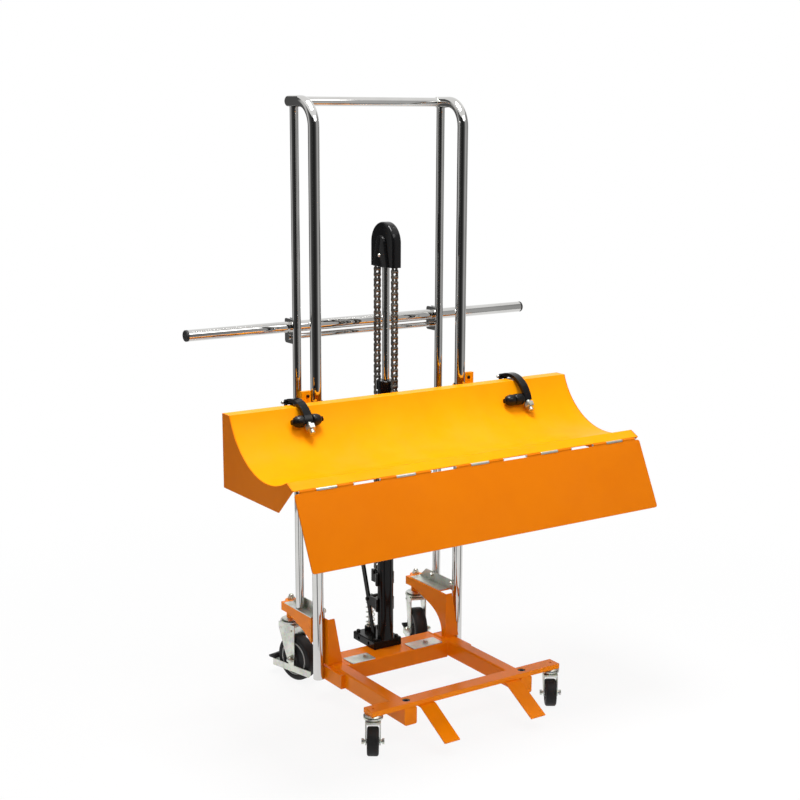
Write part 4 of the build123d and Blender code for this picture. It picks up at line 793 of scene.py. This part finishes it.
# %% Spring path
SPRING_RADIUS = 12.9 * MM
WIRE = 3.2 * MM
CLOSED_PITCH = WIRE / 2
CLOSED_TURNS = 0.8
OPEN_TURNS = 5.0
STEPS_PER_TURN = 20
spring_low, spring_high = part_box("return_spring")
spring_axis = (Vector(spring_low) + Vector(spring_high)) / 2
spring_foot = spring_low[2] + WIRE / 2
spring_rise = spring_high[2] - spring_low[2] - WIRE
all_turns = OPEN_TURNS + 2 * CLOSED_TURNS
spring_path = []
for k in range(int(all_turns * STEPS_PER_TURN) + 1):
    turns = k / STEPS_PER_TURN
    share = min(max((turns - CLOSED_TURNS) / OPEN_TURNS, 0), 1)
    closed = min(turns, CLOSED_TURNS) + max(turns - all_turns + CLOSED_TURNS, 0)
    rise = CLOSED_PITCH * closed + share * (spring_rise - 2 * CLOSED_PITCH * CLOSED_TURNS)
    angle = 2 * math.pi * turns
    spring_path.append((
        spring_axis.x + SPRING_RADIUS * math.cos(angle),
        spring_axis.y + SPRING_RADIUS * math.sin(angle),
        spring_foot + rise,
    ))
print("spring rise", round(spring_rise, 4), "m")

# %% Spring wire
WIRE_SIDES = 10
wire_tree, taken = geometry_tree("wire_along_path", [("Wire radius", "Float", WIRE / 2)])
path_curve = add_node(wire_tree, "GeometryNodeMeshToCurve", {"Mesh": taken["Geometry"]})
inputs = {"Resolution": WIRE_SIDES, "Radius": taken["Wire radius"]}
section = add_node(wire_tree, "GeometryNodeCurvePrimitiveCircle", inputs)
sweep = add_node(wire_tree, "GeometryNodeCurveToMesh", {
    "Curve": path_curve.outputs["Curve"],
    "Profile Curve": section.outputs["Curve"],
    "Fill Caps": True,
})
close_tree(wire_tree, taken, sweep.outputs["Mesh"])
values = {"Wire radius": WIRE / 2, "Material": bright_zinc}
spring_mesh = grow("spring_coil", line_mesh("spring_coil", spring_path), wire_tree, values)
seat_point = (spring_axis.x, spring_axis.y, spring_low[2])
cap_point = (spring_axis.x, spring_axis.y, spring_high[2])
spring_bodies = ("frame", "plunger", seat_point, cap_point)
add_piece("spring_coil", spring_mesh, spring_bodies, ["return_spring"])
print("spring faces", len(spring_mesh.polygons))

# %% [markdown]
# ## The wheels
# A caster wheel is a rubber tyre pressed on a moulded centre. A bevelled cylinder could stand for
# it, but both parts are turned shapes, so a profile is spun about the axle: the tyre gets a
# crowned tread, round shoulders and a bead line, the centre gets a raised rim, a sunk web and a
# hub. The axle's place comes from the wheel's own joint.


# %% Turned shapes
def axle_frame(joint_name):
    joint = joint_row[joint_name]
    across = Vector(joint["axis"]).normalized()
    turn = Matrix((across, UP.cross(across), UP)).transposed().to_4x4()
    return Matrix.Translation(Vector(joint["pos_m"])) @ turn


def turned_mesh(name, profile, place, material, sides=72):
    rings = []
    for along, radius in profile:
        points = []
        for k in range(sides):
            angle = 2 * math.pi * k / sides
            spot = (along * MM, radius * MM * math.cos(angle), radius * MM * math.sin(angle))
            points.append(place @ Vector(spot))
        rings.append(points)
    return solid_mesh(name, rings, material, closed=True, sharp=35.0)


def arc_points(centre, radius, start, end, steps):
    points = []
    for k in range(steps + 1):
        turn = math.radians(start + (end - start) * k / steps)
        points.append((centre[0] + radius * math.cos(turn), centre[1] + radius * math.sin(turn)))
    return points


def mirrored(half):
    return half + [(-along, radius) for along, radius in reversed(half)]


# %% Wheel profiles
rear_tyre_half = [
    (17.5, 51.5), (19.2, 52.4), (20.0, 54.0), (20.0, 57.0), (19.3, 57.8), (19.6, 59.0),
    *arc_points((11.0, 61.3), 8.6, -12, 80, 7), (6.0, 70.0), (1.5, 70.0),
]
rear_centre_half = [
    (21.5, 6.1), (21.5, 14.0), (20.8, 16.6), (13.0, 18.4), (12.0, 20.0), (12.0, 39.0),
    (13.4, 41.6), (17.6, 43.0), (18.4, 44.0), (18.6, 47.0),
]
rear_rim_half = [
    (14.0, 47.0), (19.0, 47.2), (19.5, 48.0), (19.5, 50.6), (19.0, 51.4), (14.0, 51.4),
]
front_tyre_half = [
    (13.0, 25.5), (15.2, 26.5), (16.0, 28.5),
    *arc_points((10.0, 34.0), 6.0, -14, 84, 7), (4.0, 40.0),
]
front_centre_half = [
    (17.0, 5.1), (17.0, 10.5), (16.4, 12.0), (12.0, 13.4), (12.0, 22.5), (14.4, 24.2), (14.4, 25.4),
]
print("tyre points, rear and front:", len(rear_tyre_half), len(front_tyre_half))

# %% Wheels
wheel_parts = {
    "rear": (
        ("tyre", rear_tyre_half, tyre_rubber, "tyre"),
        ("centre", rear_centre_half, wheel_dark, "plastic"),
        ("rim", rear_rim_half, wheel_grey, "plastic"),
    ),
    "front": (
        ("tyre", front_tyre_half, tyre_rubber, "tyre"),
        ("centre", front_centre_half, wheel_dark, "plastic"),
    ),
}
for side in ("left", "right"):
    for end, parts in wheel_parts.items():
        wheel = f"{end}_wheel_{side}"
        place = axle_frame(f"{wheel}_spin")
        for part, half, material, slot in parts:
            name = f"{end}_{part}_{side}"
            mesh = turned_mesh(name, mirrored(half), place, material)
            add_piece(name, mesh, wheel, [wheel] if part == "tyre" else ())
            print(name, "faces", len(mesh.polygons))

# %% [markdown]
# ## Sprocket cover
# A narrow moulded shell, open below, hides the sprocket and the chain on it. Outside it stand the
# two cheeks of the fork, wide at the foot and round about the axle. A bevelled half cylinder with
# a Solidify modifier could make the shell. Slices across it say the same in plain numbers: each
# is an arch that draws in towards the cheeks, so that the edges come out round, and a smaller set
# of the same slices makes the inside.


# %% Shell tool
def shell_mesh(name, outer, inner, material):
    """Skins two stacks of open slices, one inside the other, and joins them along their feet."""
    work = bmesh.new()
    skins = [
        [[work.verts.new(point) for point in line] for line in stack] for stack in (outer, inner)
    ]
    for stack in skins:
        for low, high in zip(stack, stack[1:]):
            for k in range(1, len(low)):
                work.faces.new((low[k - 1], low[k], high[k], high[k - 1]))
        work.faces.new(stack[0])
        work.faces.new(stack[-1])
    feet = [[line[0] for line in stack] + [line[-1] for line in reversed(stack)] for stack in skins]
    for k in range(len(feet[0])):
        work.faces.new((feet[0][k - 1], feet[0][k], feet[1][k], feet[1][k - 1]))
    return finished_mesh(name, work, material, SHARP_EDGE)


# %% Cover sections
COVER_SKIRT = 4.0
CORNER_STEPS = 6
ARCH_STEPS = 36
CHEEK_TOP = 21.0
CHEEK_FOOT = 36.0
CHEEK_LEAN = 12
cover_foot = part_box("sprocket_cover")[0][2] / MM - COVER_SKIRT
sprocket_y, sprocket_z = wheel_centre.y / MM, wheel_centre.z / MM


def cover_slices(reach, half, corner):
    slices = []
    turns = [math.pi / 2 * k / CORNER_STEPS for k in range(CORNER_STEPS + 1)]
    for side, angles in ((-1, turns[::-1]), (1, turns)):
        for angle in angles:
            x = side * (half - corner + corner * math.sin(angle))
            radius = reach - corner * (1 - math.cos(angle))
            arch = arc_points((sprocket_y, sprocket_z), radius, 180, 0, ARCH_STEPS)
            line = [(arch[0][0], cover_foot), *arch, (arch[-1][0], cover_foot)]
            slices.append([Vector((x, y, z)) * MM for y, z in line])
    return slices


def cheek_ring(x, inset):
    start, end = 180 - CHEEK_LEAN, CHEEK_LEAN
    round_top = arc_points((sprocket_y, sprocket_z), CHEEK_TOP - inset, start, end, ARCH_STEPS)
    foot = [(sprocket_y + side * (CHEEK_FOOT - inset), cover_foot + inset) for side in (-1, 1)]
    return [Vector((x, y, z)) * MM for y, z in (foot[0], *round_top, foot[1])]


# %% Sprocket cover
COVER_REACH, COVER_HALF, COVER_CORNER, COVER_WALL = 59.7, 15.5, 7.0, 2.0
CHEEK_FACE = 22.0
CHEEK_LEVELS = ((COVER_HALF - COVER_WALL / 2, 0.0), (20.4, 0.0), (21.4, 0.5), (CHEEK_FACE, 1.6))
outside = cover_slices(COVER_REACH, COVER_HALF, COVER_CORNER)
inside = cover_slices(COVER_REACH - COVER_WALL, COVER_HALF - COVER_WALL, COVER_CORNER - COVER_WALL)
cover_parts = [shell_mesh("cover", outside, inside, cover_black)]
for side in (-1, 1):
    rings = [cheek_ring(side * x, inset) for x, inset in CHEEK_LEVELS]
    cover_parts.append(solid_mesh("cheek", rings, cover_black))
cover = join_meshes("arched_cover", cover_parts)
add_piece("arched_cover", cover, "lift_piston", ["sprocket_cover"])
print("cover faces", len(cover.polygons))

# %% [markdown]
# ## Bolts, nuts and rivets
# The lifter is bolted together in many places. Each head could be placed by hand, but one tree
# sets any fastener on a list of points: each point carries the way it faces and its size, and the
# tree turns and scales a copy of the shape. The shapes are stacks of rings: a hexagon and a
# circle with the same number of points join well.

# %% Fastener shapes
RING_POINTS = 24
FASTENERS = {
    "hex_bolt": (
        ("round", 16, 0), ("round", 17, 0.3), ("round", 17, 1.1), ("round", 16.4, 1.4),
        ("hex", 13, 1.4), ("hex", 13, 6.0), ("round", 12.4, 6.9), ("round", 6.0, 6.9),
    ),
    "socket_screw": (
        ("round", 11.6, 0), ("round", 12, 0.3), ("round", 12, 5.4), ("round", 11.2, 6.0),
        ("round", 6.2, 6.0), ("hex", 5.2, 5.5), ("hex", 5.2, 2.6), ("round", 1.5, 2.0),
    ),
    "sunk_screw": (
        ("round", 20.4, 0), ("round", 21, 0.3), ("round", 21, 5.2), ("round", 20, 6.0),
        ("round", 11.5, 6.0), ("hex", 10, 5.4), ("hex", 10, 2.2), ("round", 3, 1.6),
    ),
    "dome_head": (
        ("round", 10, 0), ("round", 9.7, 1.4), ("round", 8.6, 2.9),
        ("round", 6.6, 4.2), ("round", 3.6, 5.0), ("round", 1.2, 5.2),
    ),
    "stud_nut": (
        ("round", 8, 0), ("round", 8, 3), ("hex", 12.4, 3), ("hex", 13, 3.6), ("hex", 13, 9.4),
        ("hex", 12.4, 10), ("round", 8, 10), ("round", 8, 15.4), ("round", 7, 16.2),
    ),
}


def ring(shape, size, height):
    points = []
    for k in range(RING_POINTS):
        angle = 2 * math.pi * k / RING_POINTS
        radius = size / 2
        if shape == "hex":
            radius /= math.cos(angle % (math.pi / 3) - math.pi / 6)
        points.append((radius * math.cos(angle) * MM, radius * math.sin(angle) * MM, height * MM))
    return points


fastener_shapes = {}
for name, stack in FASTENERS.items():
    mesh = solid_mesh(name, [ring(*level) for level in stack], bright_zinc, sharp=30.0)
    fastener_shapes[name] = template(name, mesh)
print("fastener shapes:", list(fastener_shapes))

# %% Fastener tree
fastener_tree, taken = geometry_tree("fasteners_on_points", [("Shape", "Object", None)])
row = {}
for label, kind in (("facing", "FLOAT_VECTOR"), ("size", "FLOAT")):
    inputs = {"Name": label}
    node = add_node(fastener_tree, "GeometryNodeInputNamedAttribute", inputs, data_type=kind)
    row[label] = node.outputs["Attribute"]
inputs = {"Vector": row["facing"]}
turn = add_node(fastener_tree, "FunctionNodeAlignRotationToVector", inputs, axis="Z")
shape = add_node(fastener_tree, "GeometryNodeObjectInfo", {"Object": taken["Shape"]})
put = add_node(fastener_tree, "GeometryNodeInstanceOnPoints", {
    "Points": taken["Geometry"], "Instance": shape.outputs["Geometry"],
    "Rotation": turn.outputs["Rotation"], "Scale": row["size"],
})
close_tree(fastener_tree, taken, put.outputs["Instances"])


# %% Fastener tool
def set_fasteners(name, shape, spots, body, material, replaced=()):
    """spots are (point in mm, facing, size) rows."""
    seeds = bpy.data.meshes.new(name)
    seeds.from_pydata([Vector(spot) * MM for spot, _, _ in spots], [], [])
    facing = seeds.attributes.new("facing", "FLOAT_VECTOR", "POINT")
    facing.data.foreach_set("vector", [value for _, way, _ in spots for value in way])
    sizes = seeds.attributes.new("size", "FLOAT", "POINT")
    sizes.data.foreach_set("value", [size for _, _, size in spots])
    values = {"Shape": fastener_shapes[shape], "Material": material}
    mesh = grow(name, seeds, fastener_tree, values, sharp=30.0)
    add_piece(name, mesh, body, replaced)
    print(name, len(spots), "set")


# %% Bolts of the base
FULL_SIZE = 1.0
TRAY_WALL_X, TRAY_BOLT_Z = 230.7, 268.4
TRAY_BOLT_Y = (135.2, 241.2)
DECK_BOLTS = ((-99.0, 111.2, 107.0), (118.1, 111.2, 107.0))
BLOCK_SCREW_X, BLOCK_SCREW_Y, BLOCK_FACE = 37, (152.2, 250.2), 130.5
CROSSBAR_SCREW = (201, -258.8, 115.0)
base_bolts = []
for side in (-1, 1):
    inwards = (-side, 0, 0)
    base_bolts += [((side * TRAY_WALL_X, y, TRAY_BOLT_Z), inwards, FULL_SIZE) for y in TRAY_BOLT_Y]
base_bolts += [(spot, UP, FULL_SIZE) for spot in DECK_BOLTS]
set_fasteners("base_bolts", "hex_bolt", base_bolts, "frame", bright_zinc, ["frame_screws"])
block_screws = []
for side in (-1, 1):
    block_screws += [((side * BLOCK_SCREW_X, y, BLOCK_FACE), UP, FULL_SIZE) for y in BLOCK_SCREW_Y]
set_fasteners("block_screws", "socket_screw", block_screws, "frame", gloss_black)
screw_x, screw_y, screw_z = CROSSBAR_SCREW
sunk_screws = [((side * screw_x, screw_y, screw_z), UP, FULL_SIZE) for side in (-1, 1)]
set_fasteners("crossbar_screws", "sunk_screw", sunk_screws, "frame", gloss_black)

# %% Bolt heads of the cover
COVER_HEAD_SIZE = 1.1
bolts_low, bolts_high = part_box("cover_bolts")
cover_bolt_z = (bolts_low[2] + bolts_high[2]) / 2 / MM
cover_heads = [
    ((side * CHEEK_FACE, sprocket_y, cover_bolt_z), (side, 0, 0), COVER_HEAD_SIZE)
    for side in (-1, 1)
]
set_fasteners(
    "cover_heads", "dome_head", cover_heads, "lift_piston", bright_zinc, ["cover_bolts"]
)

# %% Fasteners of the carriage
PIN_REACH, PIN_CAP_SIZE = 20.0, 1.05
GUIDE_BOLT, GUIDE_BOLT_SIZE = (280.0, 128.2, 916.0), 0.75
arm_pivots = [Vector(joint_row[f"arm_{side}_hinge"]["pos_m"]) / MM for side in ("left", "right")]
pin_caps = []
for pivot in arm_pivots:
    for side in (-1, 1):
        spot = (pivot.x + side * PIN_REACH, pivot.y, pivot.z)
        pin_caps.append((spot, (side, 0, 0), PIN_CAP_SIZE))
set_fasteners("arm_pin_caps", "dome_head", pin_caps, "carriage", bright_zinc)
bolt_x, bolt_y, bolt_z = GUIDE_BOLT
guide_bolts = [((side * bolt_x, bolt_y, bolt_z), (0, -1, 0), GUIDE_BOLT_SIZE) for side in (-1, 1)]
set_fasteners("guide_bolts", "socket_screw", guide_bolts, "carriage", gloss_black)

# %% Studs of the arms and rivets of the casters
STUD_AHEAD = Vector((0, -9.0, -6.0))
STUD_WAYS = {"left": (0, -0.66, -0.75), "right": (0, -0.60, -0.80)}
STUD_SIZE = 2.0
NUT_FACE, NUT_SIZE = 35.3, 1.7
LEG_FACE, LEG_RIVET_SIZE = 25.4, 0.62
LEG_RIVETS = ((1.0, 88.0), (50.0, 88.0))
for side, stud_way in STUD_WAYS.items():
    axle = Vector(joint_row[f"arm_rollers_{side}_spin"]["pos_m"]) / MM
    studs = [(axle + STUD_AHEAD, stud_way, STUD_SIZE)]
    set_fasteners(f"arm_stud_{side}", "stud_nut", studs, f"arm_{side}", bright_zinc)
    place = axle_frame(f"rear_wheel_{side}_spin")
    across = place.to_3x3().col[0]
    spots = []
    for way in (-1, 1):
        facing = tuple(across * way)
        spots.append((place @ Vector((way * NUT_FACE * MM, 0, 0)) / MM, facing, NUT_SIZE))
        for y, z in LEG_RIVETS:
            spot = place @ (Vector((way * LEG_FACE, y, z)) * MM) / MM
            spots.append((spot, facing, LEG_RIVET_SIZE))
    set_fasteners(
        f"rear_fork_rivets_{side}", "dome_head", spots, f"rear_swivel_{side}", bright_zinc
    )
for shape in fastener_shapes.values():
    bpy.data.objects.remove(shape)

# %% [markdown]
# ## Trough flange
# Seen from the front, the trough is open below its nose. Its back wall ends in a folded flange
# that keeps the sheet stiff, so the underside is drawn as that flange. A bent plane with a
# Solidify modifier could make it, but a fold has an inner and an outer radius, so its whole
# section is drawn out along the trough.

# %% Trough flange
FLANGE_LINE = (
    (67.2, 706.0), (47.0, 706.0), (44.6, 706.6), (42.8, 708.2), (42.0, 710.4), (42.0, 720.0),
    (45.0, 720.0), (45.0, 710.6), (45.6, 709.5), (46.8, 709.0), (67.2, 709.0),
)
underside_low, underside_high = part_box("trough_underside")
flange_ends = (underside_low[0], underside_high[0])
flange_rings = [[(x, y * MM, z * MM) for y, z in FLANGE_LINE] for x in flange_ends]
# The flange takes the darker copy of the trough's paint, which is painted shade.
flange = solid_mesh("trough_flange", flange_rings, shaded_trough_orange)
add_piece("trough_flange", flange, "carriage", ["trough_underside"])
print("flange faces", len(flange.polygons))

# %% [markdown]
# ## Arm rollers
# The retainer arms end in rubber rollers. A cylinder with a Bevel modifier could make a plain
# one, but each has a soft crown, and the outermost end in a dome that the edge of a roll slides
# off. So they are turned like the wheels, and they stay in the room of the plain rollers.

# %% Arm rollers
ROLLER_WIDTH = 30.0
ROLLER_BORE = 4.3
ROLLER_FOOT = [(0.0, ROLLER_BORE), (0.0, 14.5), (1.5, 16.2), (4.5, 17.0)]
DOMED = ROLLER_FOOT + [(11.0, 16.9), (18.0, 15.9), (24.0, 13.2), (28.0, 9.4), (30.0, 5.6)]
DOMED += [(30.0, ROLLER_BORE)]
CROWNED = ROLLER_FOOT + [(ROLLER_WIDTH - along, radius) for along, radius in reversed(ROLLER_FOOT)]
for side, last_profile in (("left", DOMED), ("right", CROWNED)):
    low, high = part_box(f"arm_rollers_{side}")
    axle = Vector(joint_row[f"arm_rollers_{side}_spin"]["pos_m"])
    place = Matrix.Translation(Vector((0, axle.y, axle.z)))
    rows = [(low[0] / MM + ROLLER_WIDTH, -1, DOMED), (high[0] / MM - ROLLER_WIDTH, 1, last_profile)]
    rollers = []
    for start, way, profile in rows:
        line = [(start + way * along, radius) for along, radius in profile]
        rollers.append(turned_mesh("roller", line, place, roller_rubber, sides=48))
    pair = join_meshes(f"rubber_rollers_{side}", rollers)
    add_piece(
        f"rubber_rollers_{side}", pair, f"arm_rollers_{side}", [f"arm_rollers_{side}"]
    )
    print("rollers", side, "faces", len(pair.polygons))

# %% [markdown]
# ## Hinge barrels
# The flap hangs on five hinges. Each has a bright zinc barrel on the trough between two painted
# knuckles of the flap. A plain cylinder could stand for a barrel, but it is a thin sleeve round
# the pin with softened ends, so it is turned about the hinge line.

# %% Hinge barrels
HINGE_ENDS = 480.0
HINGE_COUNT = 5
BARREL_HALF = 30.0
BARREL_RADIUS, BARREL_BORE, BARREL_EDGE = 3.9, 3.4, 0.3
BARREL_LINE = [
    (BARREL_HALF, BARREL_BORE), (BARREL_HALF, BARREL_RADIUS - BARREL_EDGE),
    (BARREL_HALF - BARREL_EDGE, BARREL_RADIUS),
]
hinge_centre = Vector(joint_row["flap_hinge"]["pos_m"])
barrels = []
for k in range(HINGE_COUNT):
    aside = Vector((HINGE_ENDS * (2 * k / (HINGE_COUNT - 1) - 1) * MM, 0, 0))
    place = Matrix.Translation(hinge_centre + aside)
    barrels.append(turned_mesh("barrel", mirrored(BARREL_LINE), place, bright_zinc, sides=20))
add_piece("trough_barrels", join_meshes("trough_barrels", barrels), "carriage")
print("hinges:", HINGE_COUNT)

# %% [markdown]
# ## Brake pads
# The rear casters carry a foot brake: a zinc bar on both sides of the wheel with a black moulded
# pad to step on. A bevelled box could stand for the pad, but it is a wedge with rounded ends, so
# it is skinned from slices across the wheel. It rides on the brake bar.

# %% Brake pads
PAD_LINE = (
    (75.0, -18.0), (98.0, -18.4), (102.2, -14.0), (101.4, -12.4), (80.0, -4.6), (77.4, -5.2),
)
PAD_SLICES = ((-30.0, 0.8), (-29.2, 0.94), (-27.5, 1.0), (27.5, 1.0), (29.2, 0.94), (30.0, 0.8))
pad_middle = Vector((sum(y for y, _ in PAD_LINE), sum(z for _, z in PAD_LINE))) / len(PAD_LINE)
for side in ("left", "right"):
    place = axle_frame(f"rear_wheel_{side}_spin")
    rings = []
    for x, share in PAD_SLICES:
        corners = [pad_middle + (Vector(corner) - pad_middle) * share for corner in PAD_LINE]
        rings.append([place @ (Vector((x, corner.x, corner.y)) * MM) for corner in corners])
    pad = solid_mesh(f"brake_pad_{side}", rings, cap_plastic, sharp=50.0)
    add_piece(f"brake_pad_{side}", pad, f"rear_brake_{side}")
    print("brake pad", side, "faces", len(pad.polygons))

# %% [markdown]
# ## Weld beads
# The base and the carriage are welded, and the paint goes over the beads. A bead could be a bump
# in the paint, but a real one stands out of the corner, so a tree walks along each seam and drops
# a small flattened ball every two millimetres, each scaled a little by a fixed seed.

# %% Bead tree
BEAD_RADIUS = 2.2
BEAD_STEP = 2.0
BEAD_SEED = 3
BEAD_LEAST, BEAD_MOST = (0.82, 0.82, 0.7), (1.12, 1.12, 0.95)
bead_tree, taken = geometry_tree("weld_along_seams", [
    ("Bead radius", "Float", BEAD_RADIUS * MM),
    ("Step", "Float", BEAD_STEP * MM),
    ("Seed", "Int", BEAD_SEED),
])
seams = add_node(bead_tree, "GeometryNodeMeshToCurve", {"Mesh": taken["Geometry"]})
inputs = {"Curve": seams.outputs["Curve"], "Length": taken["Step"]}
steps = add_node(bead_tree, "GeometryNodeResampleCurve", inputs, mode="LENGTH")
inputs = {"Subdivisions": 2, "Radius": taken["Bead radius"]}
drop = add_node(bead_tree, "GeometryNodeMeshIcoSphere", inputs)
inputs = {"Min": BEAD_LEAST, "Max": BEAD_MOST, "Seed": taken["Seed"]}
jitter = add_node(bead_tree, "FunctionNodeRandomValue", inputs, data_type="FLOAT_VECTOR")
put = add_node(bead_tree, "GeometryNodeInstanceOnPoints", {
    "Points": steps.outputs["Curve"],
    "Instance": drop.outputs["Mesh"],
    "Scale": jitter.outputs["Value"],
})
close_tree(bead_tree, taken, put.outputs["Instances"])


# %% Weld tool
def weld(name, seams, body, material, radius=BEAD_RADIUS):
    lines = [[Vector(point) * MM for point in seam] for seam in seams]
    values = {"Bead radius": radius * MM, "Material": material}
    mesh = grow(name, line_mesh(name, *lines), bead_tree, values, sharp=60.0)
    add_piece(name, mesh, body)
    print(name, "faces", len(mesh.polygons))


# %% Welds of the base
PAIRED_SEAMS = {
    "crossbar over the rail": ((183, -235.8, 108), (219, -235.8, 108)),
    "crossmember along the rail": ((181, 87, 105), (181, 185, 105)),
    "crossmember's front corner": ((181, 81.2, 100), (181, 81.2, 62)),
    "foot plate along the rail": ((221, 32, 101), (221, 155, 101)),
    "foot plate on the front tube": ((233.8, 126, 62), (233.8, 126, 100)),
}
BRACKET_SEAMS = (
    ((-219, 106.2, 108), (-186, 106.2, 108)),
    ((191, 106.2, 108), (219, 106.2, 108)),
)
base_seams = []
for side in (-1, 1):
    base_seams += [[(side * x, y, z) for x, y, z in seam] for seam in PAIRED_SEAMS.values()]
weld("base_welds", [*base_seams, *BRACKET_SEAMS], "frame", frame_orange)

# %% Welds of the mast and the column
MAST_X, MAST_RADIUS = 250, 16
CROSS_Y, CROSS_Z, CROSS_RADIUS = 250.2, 1725, 13.0
COLUMN_Y, COLUMN_FOOT_Z, COLUMN_RADIUS = 155.2, 130.6, 24.2
SADDLE_STEPS = 48
COLUMN_STEPS = 60
saddles = []
for side in (-1, 1):
    saddle = []
    for k in range(SADDLE_STEPS + 1):
        turn = 2 * math.pi * k / SADDLE_STEPS
        ahead, rise = CROSS_RADIUS * math.cos(turn), CROSS_RADIUS * math.sin(turn)
        x = side * (MAST_X - math.sqrt(MAST_RADIUS ** 2 - rise ** 2))
        saddle.append((x, CROSS_Y + ahead, CROSS_Z + rise))
    saddles.append(saddle)
weld("cross_tube_welds", saddles, "frame", bright_zinc, 1.6)
column_turns = [2 * math.pi * k / COLUMN_STEPS for k in range(COLUMN_STEPS + 1)]
column_seam = [
    (COLUMN_RADIUS * math.cos(turn), COLUMN_Y + COLUMN_RADIUS * math.sin(turn), COLUMN_FOOT_Z)
    for turn in column_turns
]
weld("column_weld", [column_seam], "frame", gloss_black, 2.0)

# %% Welds of the carriage
BACK_FACE = 70.2
GUIDE_EDGES = (266, 299)
GUIDE_SPANS = ((859, 894), (789, 824))
ARM_HINGE_EDGES = (-12.0, 12.0)
ARM_HINGE_SPAN = (856, 903)


def upright_seam(x, span):
    return [(x, BACK_FACE, z) for z in span]


carriage_seams = []
for side in (-1, 1):
    carriage_seams += [upright_seam(side * x, span) for x in GUIDE_EDGES for span in GUIDE_SPANS]
for pivot in arm_pivots:
    carriage_seams += [upright_seam(pivot.x + x, ARM_HINGE_SPAN) for x in ARM_HINGE_EDGES]
# The carriage beads take the darker copy of the trough's paint, which is painted shade.
weld("carriage_welds", carriage_seams, "carriage", shaded_trough_orange, 1.8)
